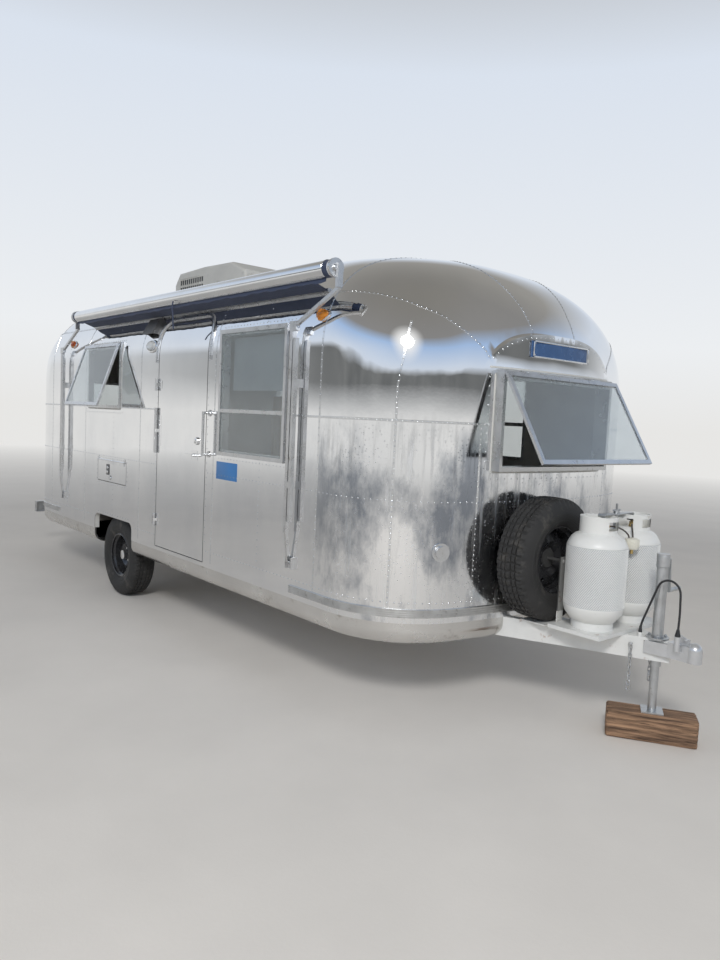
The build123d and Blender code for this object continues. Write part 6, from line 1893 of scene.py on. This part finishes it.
def build_sky():
    """Plain pale surroundings; behind the camera they are bluer, with a soft dark band and a soft glare."""
    world = bpy.data.worlds.new("soft_room")
    bpy.context.scene.world = world
    world.use_nodes = True
    g = Graph(world.node_tree)
    direction = g.spot("Generated")
    up = g.axes(direction)["Z"]
    pale = g.ramp(up, (0.0, HORIZON), (0.10, (0.84, 0.86, 0.88)), (0.40, (0.70, 0.76, 0.85)),
                  (0.60, (0.34, 0.33, 0.31)), (1.0, (0.24, 0.23, 0.21)))
    blue = g.ramp(up, (0.0, HORIZON), (0.22, (0.66, 0.74, 0.86)), (0.45, (0.40, 0.55, 0.80)),
                  (0.60, (0.27, 0.265, 0.26)), (1.0, (0.24, 0.23, 0.21)))
    behind = g.span(g.against("DOT_PRODUCT", direction, CAMERA_SIDE), -0.55, -0.20)
    sky = g.blend(behind, pale, blue)
    ragged = g.times(g.maths("SUBTRACT", g.noise(direction, 2.2, 2.0, (1.0, 1.0, 1.6)), 0.5), 0.14)
    low = g.span(g.maths("ADD", up, ragged), 0.11, 0.19, 1.0, 0.0)
    band = g.times(g.times(low, g.span(up, 0.002, 0.045)), behind)
    leaves = g.noise(direction, 4.0, 2.0)
    dark = g.ramp(leaves, (0.35, (0.150, 0.155, 0.156)), (0.70, (0.205, 0.210, 0.208)))
    sky = g.blend(band, sky, dark)
    near = g.span(g.against("DOT_PRODUCT", direction, GLARE), 0.945, 0.995)
    sky = g.blend(g.maths("POWER", near, 1.6), sky, (1.0, 0.995, 0.98))
    back = g.nodes["Background"]
    g.links.new(sky, back.inputs["Color"])
    back.inputs["Strength"].default_value = 1.0


def build_key(power):
    """The one lamp, high on the curb side in front."""
    lamp = bpy.data.lights.new("key_area", "AREA")
    lamp.shape = "ELLIPSE"
    lamp.size = 2.4
    lamp.size_y = 2.2
    lamp.energy = power
    obj = bpy.data.objects.new("key_area", lamp)
    obj.location = KEY_SPOT
    obj.rotation_euler = (Vector(KEY_AIM) - Vector(KEY_SPOT)).to_track_quat("-Z", "Y").to_euler()
    bpy.context.scene.collection.objects.link(obj)


def build_camera():
    """Camera at the photograph's angle, with the fitted focal length."""
    cam = bpy.data.cameras.new("photo_camera")
    cam.sensor_fit = "VERTICAL"
    cam.sensor_height = 36.0
    cam.lens = FOCAL_PIXELS / PHOTO_HEIGHT * 36.0
    cam.clip_end = 200.0
    yaw, pitch, roll = [math.radians(a) for a in CAMERA_ANGLES]
    forward = Vector((math.cos(yaw) * math.cos(pitch), math.sin(yaw) * math.cos(pitch), math.sin(pitch)))
    level = Vector((math.sin(yaw), -math.cos(yaw), 0.0))
    up = level.cross(forward)
    right = level * math.cos(roll) + up * math.sin(roll)
    up = up * math.cos(roll) - level * math.sin(roll)
    obj = bpy.data.objects.new("photo_camera", cam)
    obj.matrix_world = Matrix.Translation(CAMERA_SPOT) @ Matrix((right, up, -forward)).transposed().to_4x4()
    bpy.context.scene.collection.objects.link(obj)
    bpy.context.scene.camera = obj


# Add-on: settings, operators and panel

MATERIALS = {}


class CaravanSkinSettings(bpy.types.PropertyGroup):
    """Sheets and rivets of the body"""
    step: bpy.props.FloatProperty(
        name="Mesh step", description="Distance between points of the skin", default=0.040, unit="LENGTH")
    pitch: bpy.props.FloatProperty(
        name="Rivet pitch", description="Distance between rivets in a row", default=0.038, unit="LENGTH")


class CaravanSoftSettings(bpy.types.PropertyGroup):
    """Cushions and mattress"""
    crown: bpy.props.FloatProperty(
        name="Crown", description="Most that a cushion swells", default=0.020, unit="LENGTH")


class CaravanStageSettings(bpy.types.PropertyGroup):
    """Floor and lights"""
    floor_tone: bpy.props.FloatProperty(
        name="Floor tone", description="Brightness of the floor's colour", default=0.84, subtype="FACTOR")
    key: bpy.props.FloatProperty(
        name="Key light", description="Power of the large soft light", default=460.0, unit="POWER")


class CARAVAN_OT_finishes(bpy.types.Operator):
    """Make the materials and give them to the solids"""
    bl_idname = "caravan.finishes"
    bl_label = "Finishes"

    def execute(self, context):
        MATERIALS.update(make_materials())
        dress_nodes(MATERIALS)
        return {"FINISHED"}


class CARAVAN_OT_skins(bpy.types.Operator):
    """Make the polished sheets of the body"""
    bl_idname = "caravan.skins"
    bl_label = "Body skins"

    def execute(self, context):
        build_skins(MATERIALS, context.scene.caravan_skin.step)
        return {"FINISHED"}


class CARAVAN_OT_seams(bpy.types.Operator):
    """Make the lapped seams and rivet rows"""
    bl_idname = "caravan.seams"
    bl_label = "Seams and rivets"

    def execute(self, context):
        build_seams(MATERIALS, context.scene.caravan_skin.pitch)
        return {"FINISHED"}


class CARAVAN_OT_wheels(bpy.types.Operator):
    """Make the tyres' tread and the wheels' trim"""
    bl_idname = "caravan.wheels"
    bl_label = "Wheels"

    def execute(self, context):
        build_wheels(MATERIALS)
        return {"FINISHED"}


class CARAVAN_OT_interior(bpy.types.Operator):
    """Make the seat, bed and cushions"""
    bl_idname = "caravan.interior"
    bl_label = "Interior"

    def execute(self, context):
        build_interior(MATERIALS, context.scene.caravan_soft.crown)
        return {"FINISHED"}


class CARAVAN_OT_gas(bpy.types.Operator):
    """Make the gas cylinders and their controls"""
    bl_idname = "caravan.gas"
    bl_label = "Gas cylinders"

    def execute(self, context):
        build_tanks(MATERIALS)
        build_controls(MATERIALS)
        return {"FINISHED"}


class CARAVAN_OT_tongue(bpy.types.Operator):
    """Make the chains, jack trim, timber block and cable"""
    bl_idname = "caravan.tongue"
    bl_label = "Tongue"

    def execute(self, context):
        build_cable(MATERIALS)
        build_chains(MATERIALS)
        build_jack_trim(MATERIALS)
        build_block(MATERIALS)
        return {"FINISHED"}


class CARAVAN_OT_awning(bpy.types.Operator):
    """Make the rolled awning's cover, fabric and caps"""
    bl_idname = "caravan.awning"
    bl_label = "Awning"

    def execute(self, context):
        build_awning_cover(MATERIALS)
        build_awning_fabric(MATERIALS)
        build_awning_caps(MATERIALS)
        return {"FINISHED"}


class CARAVAN_OT_trim(bpy.types.Operator):
    """Make the lamps, the roof unit's louvres, the door's screws and seal, and the plates"""
    bl_idname = "caravan.trim"
    bl_label = "Lamps and trim"

    def execute(self, context):
        build_lamps(MATERIALS)
        build_roof_unit(MATERIALS)
        build_door_screws(MATERIALS)
        build_plates(MATERIALS)
        build_door_seal(MATERIALS)
        return {"FINISHED"}


class CARAVAN_OT_stage(bpy.types.Operator):
    """Make the floor, the surroundings, the light and the camera"""
    bl_idname = "caravan.stage"
    bl_label = "Stage"

    def execute(self, context):
        settings = context.scene.caravan_stage
        build_floor(settings.floor_tone)
        build_sky()
        build_key(settings.key)
        build_camera()
        context.scene.view_settings.view_transform = "Standard"
        return {"FINISHED"}


class CARAVAN_PT_panel(bpy.types.Panel):
    """Buttons for each group of pieces"""
    bl_idname = "CARAVAN_PT_panel"
    bl_label = "Travel caravan"
    bl_space_type = "VIEW_3D"
    bl_region_type = "UI"
    bl_category = "Caravan"

    def draw(self, context):
        layout = self.layout
        for key in ("caravan_skin", "caravan_soft", "caravan_stage"):
            group = getattr(context.scene, key)
            for prop in group.bl_rna.properties:
                if prop.identifier not in ("rna_type", "name"):
                    layout.prop(group, prop.identifier)
        for cls in STEPS:
            layout.operator(cls.bl_idname)


STEPS = (
    CARAVAN_OT_finishes, CARAVAN_OT_stage, CARAVAN_OT_tongue, CARAVAN_OT_skins, CARAVAN_OT_seams,
    CARAVAN_OT_wheels, CARAVAN_OT_gas, CARAVAN_OT_awning, CARAVAN_OT_trim, CARAVAN_OT_interior,
)
GROUPS = (
    (CaravanSkinSettings, "caravan_skin"),
    (CaravanSoftSettings, "caravan_soft"),
    (CaravanStageSettings, "caravan_stage"),
)


def register():
    """Makes the settings, operators and panel known."""
    for cls, key in GROUPS:
        bpy.utils.register_class(cls)
        setattr(bpy.types.Scene, key, bpy.props.PointerProperty(type=cls))
    for cls in STEPS + (CARAVAN_PT_panel,):
        bpy.utils.register_class(cls)


def unregister():
    """Takes them away again."""
    for cls in reversed(STEPS + (CARAVAN_PT_panel,)):
        bpy.utils.unregister_class(cls)
    for cls, key in GROUPS:
        delattr(bpy.types.Scene, key)
        bpy.utils.unregister_class(cls)


def main():
    """Runs every operator."""
    register()
    for cls in STEPS:
        module, name = cls.bl_idname.split(".")
        getattr(getattr(bpy.ops, module), name)()


if __name__ == "__main__":
    main()
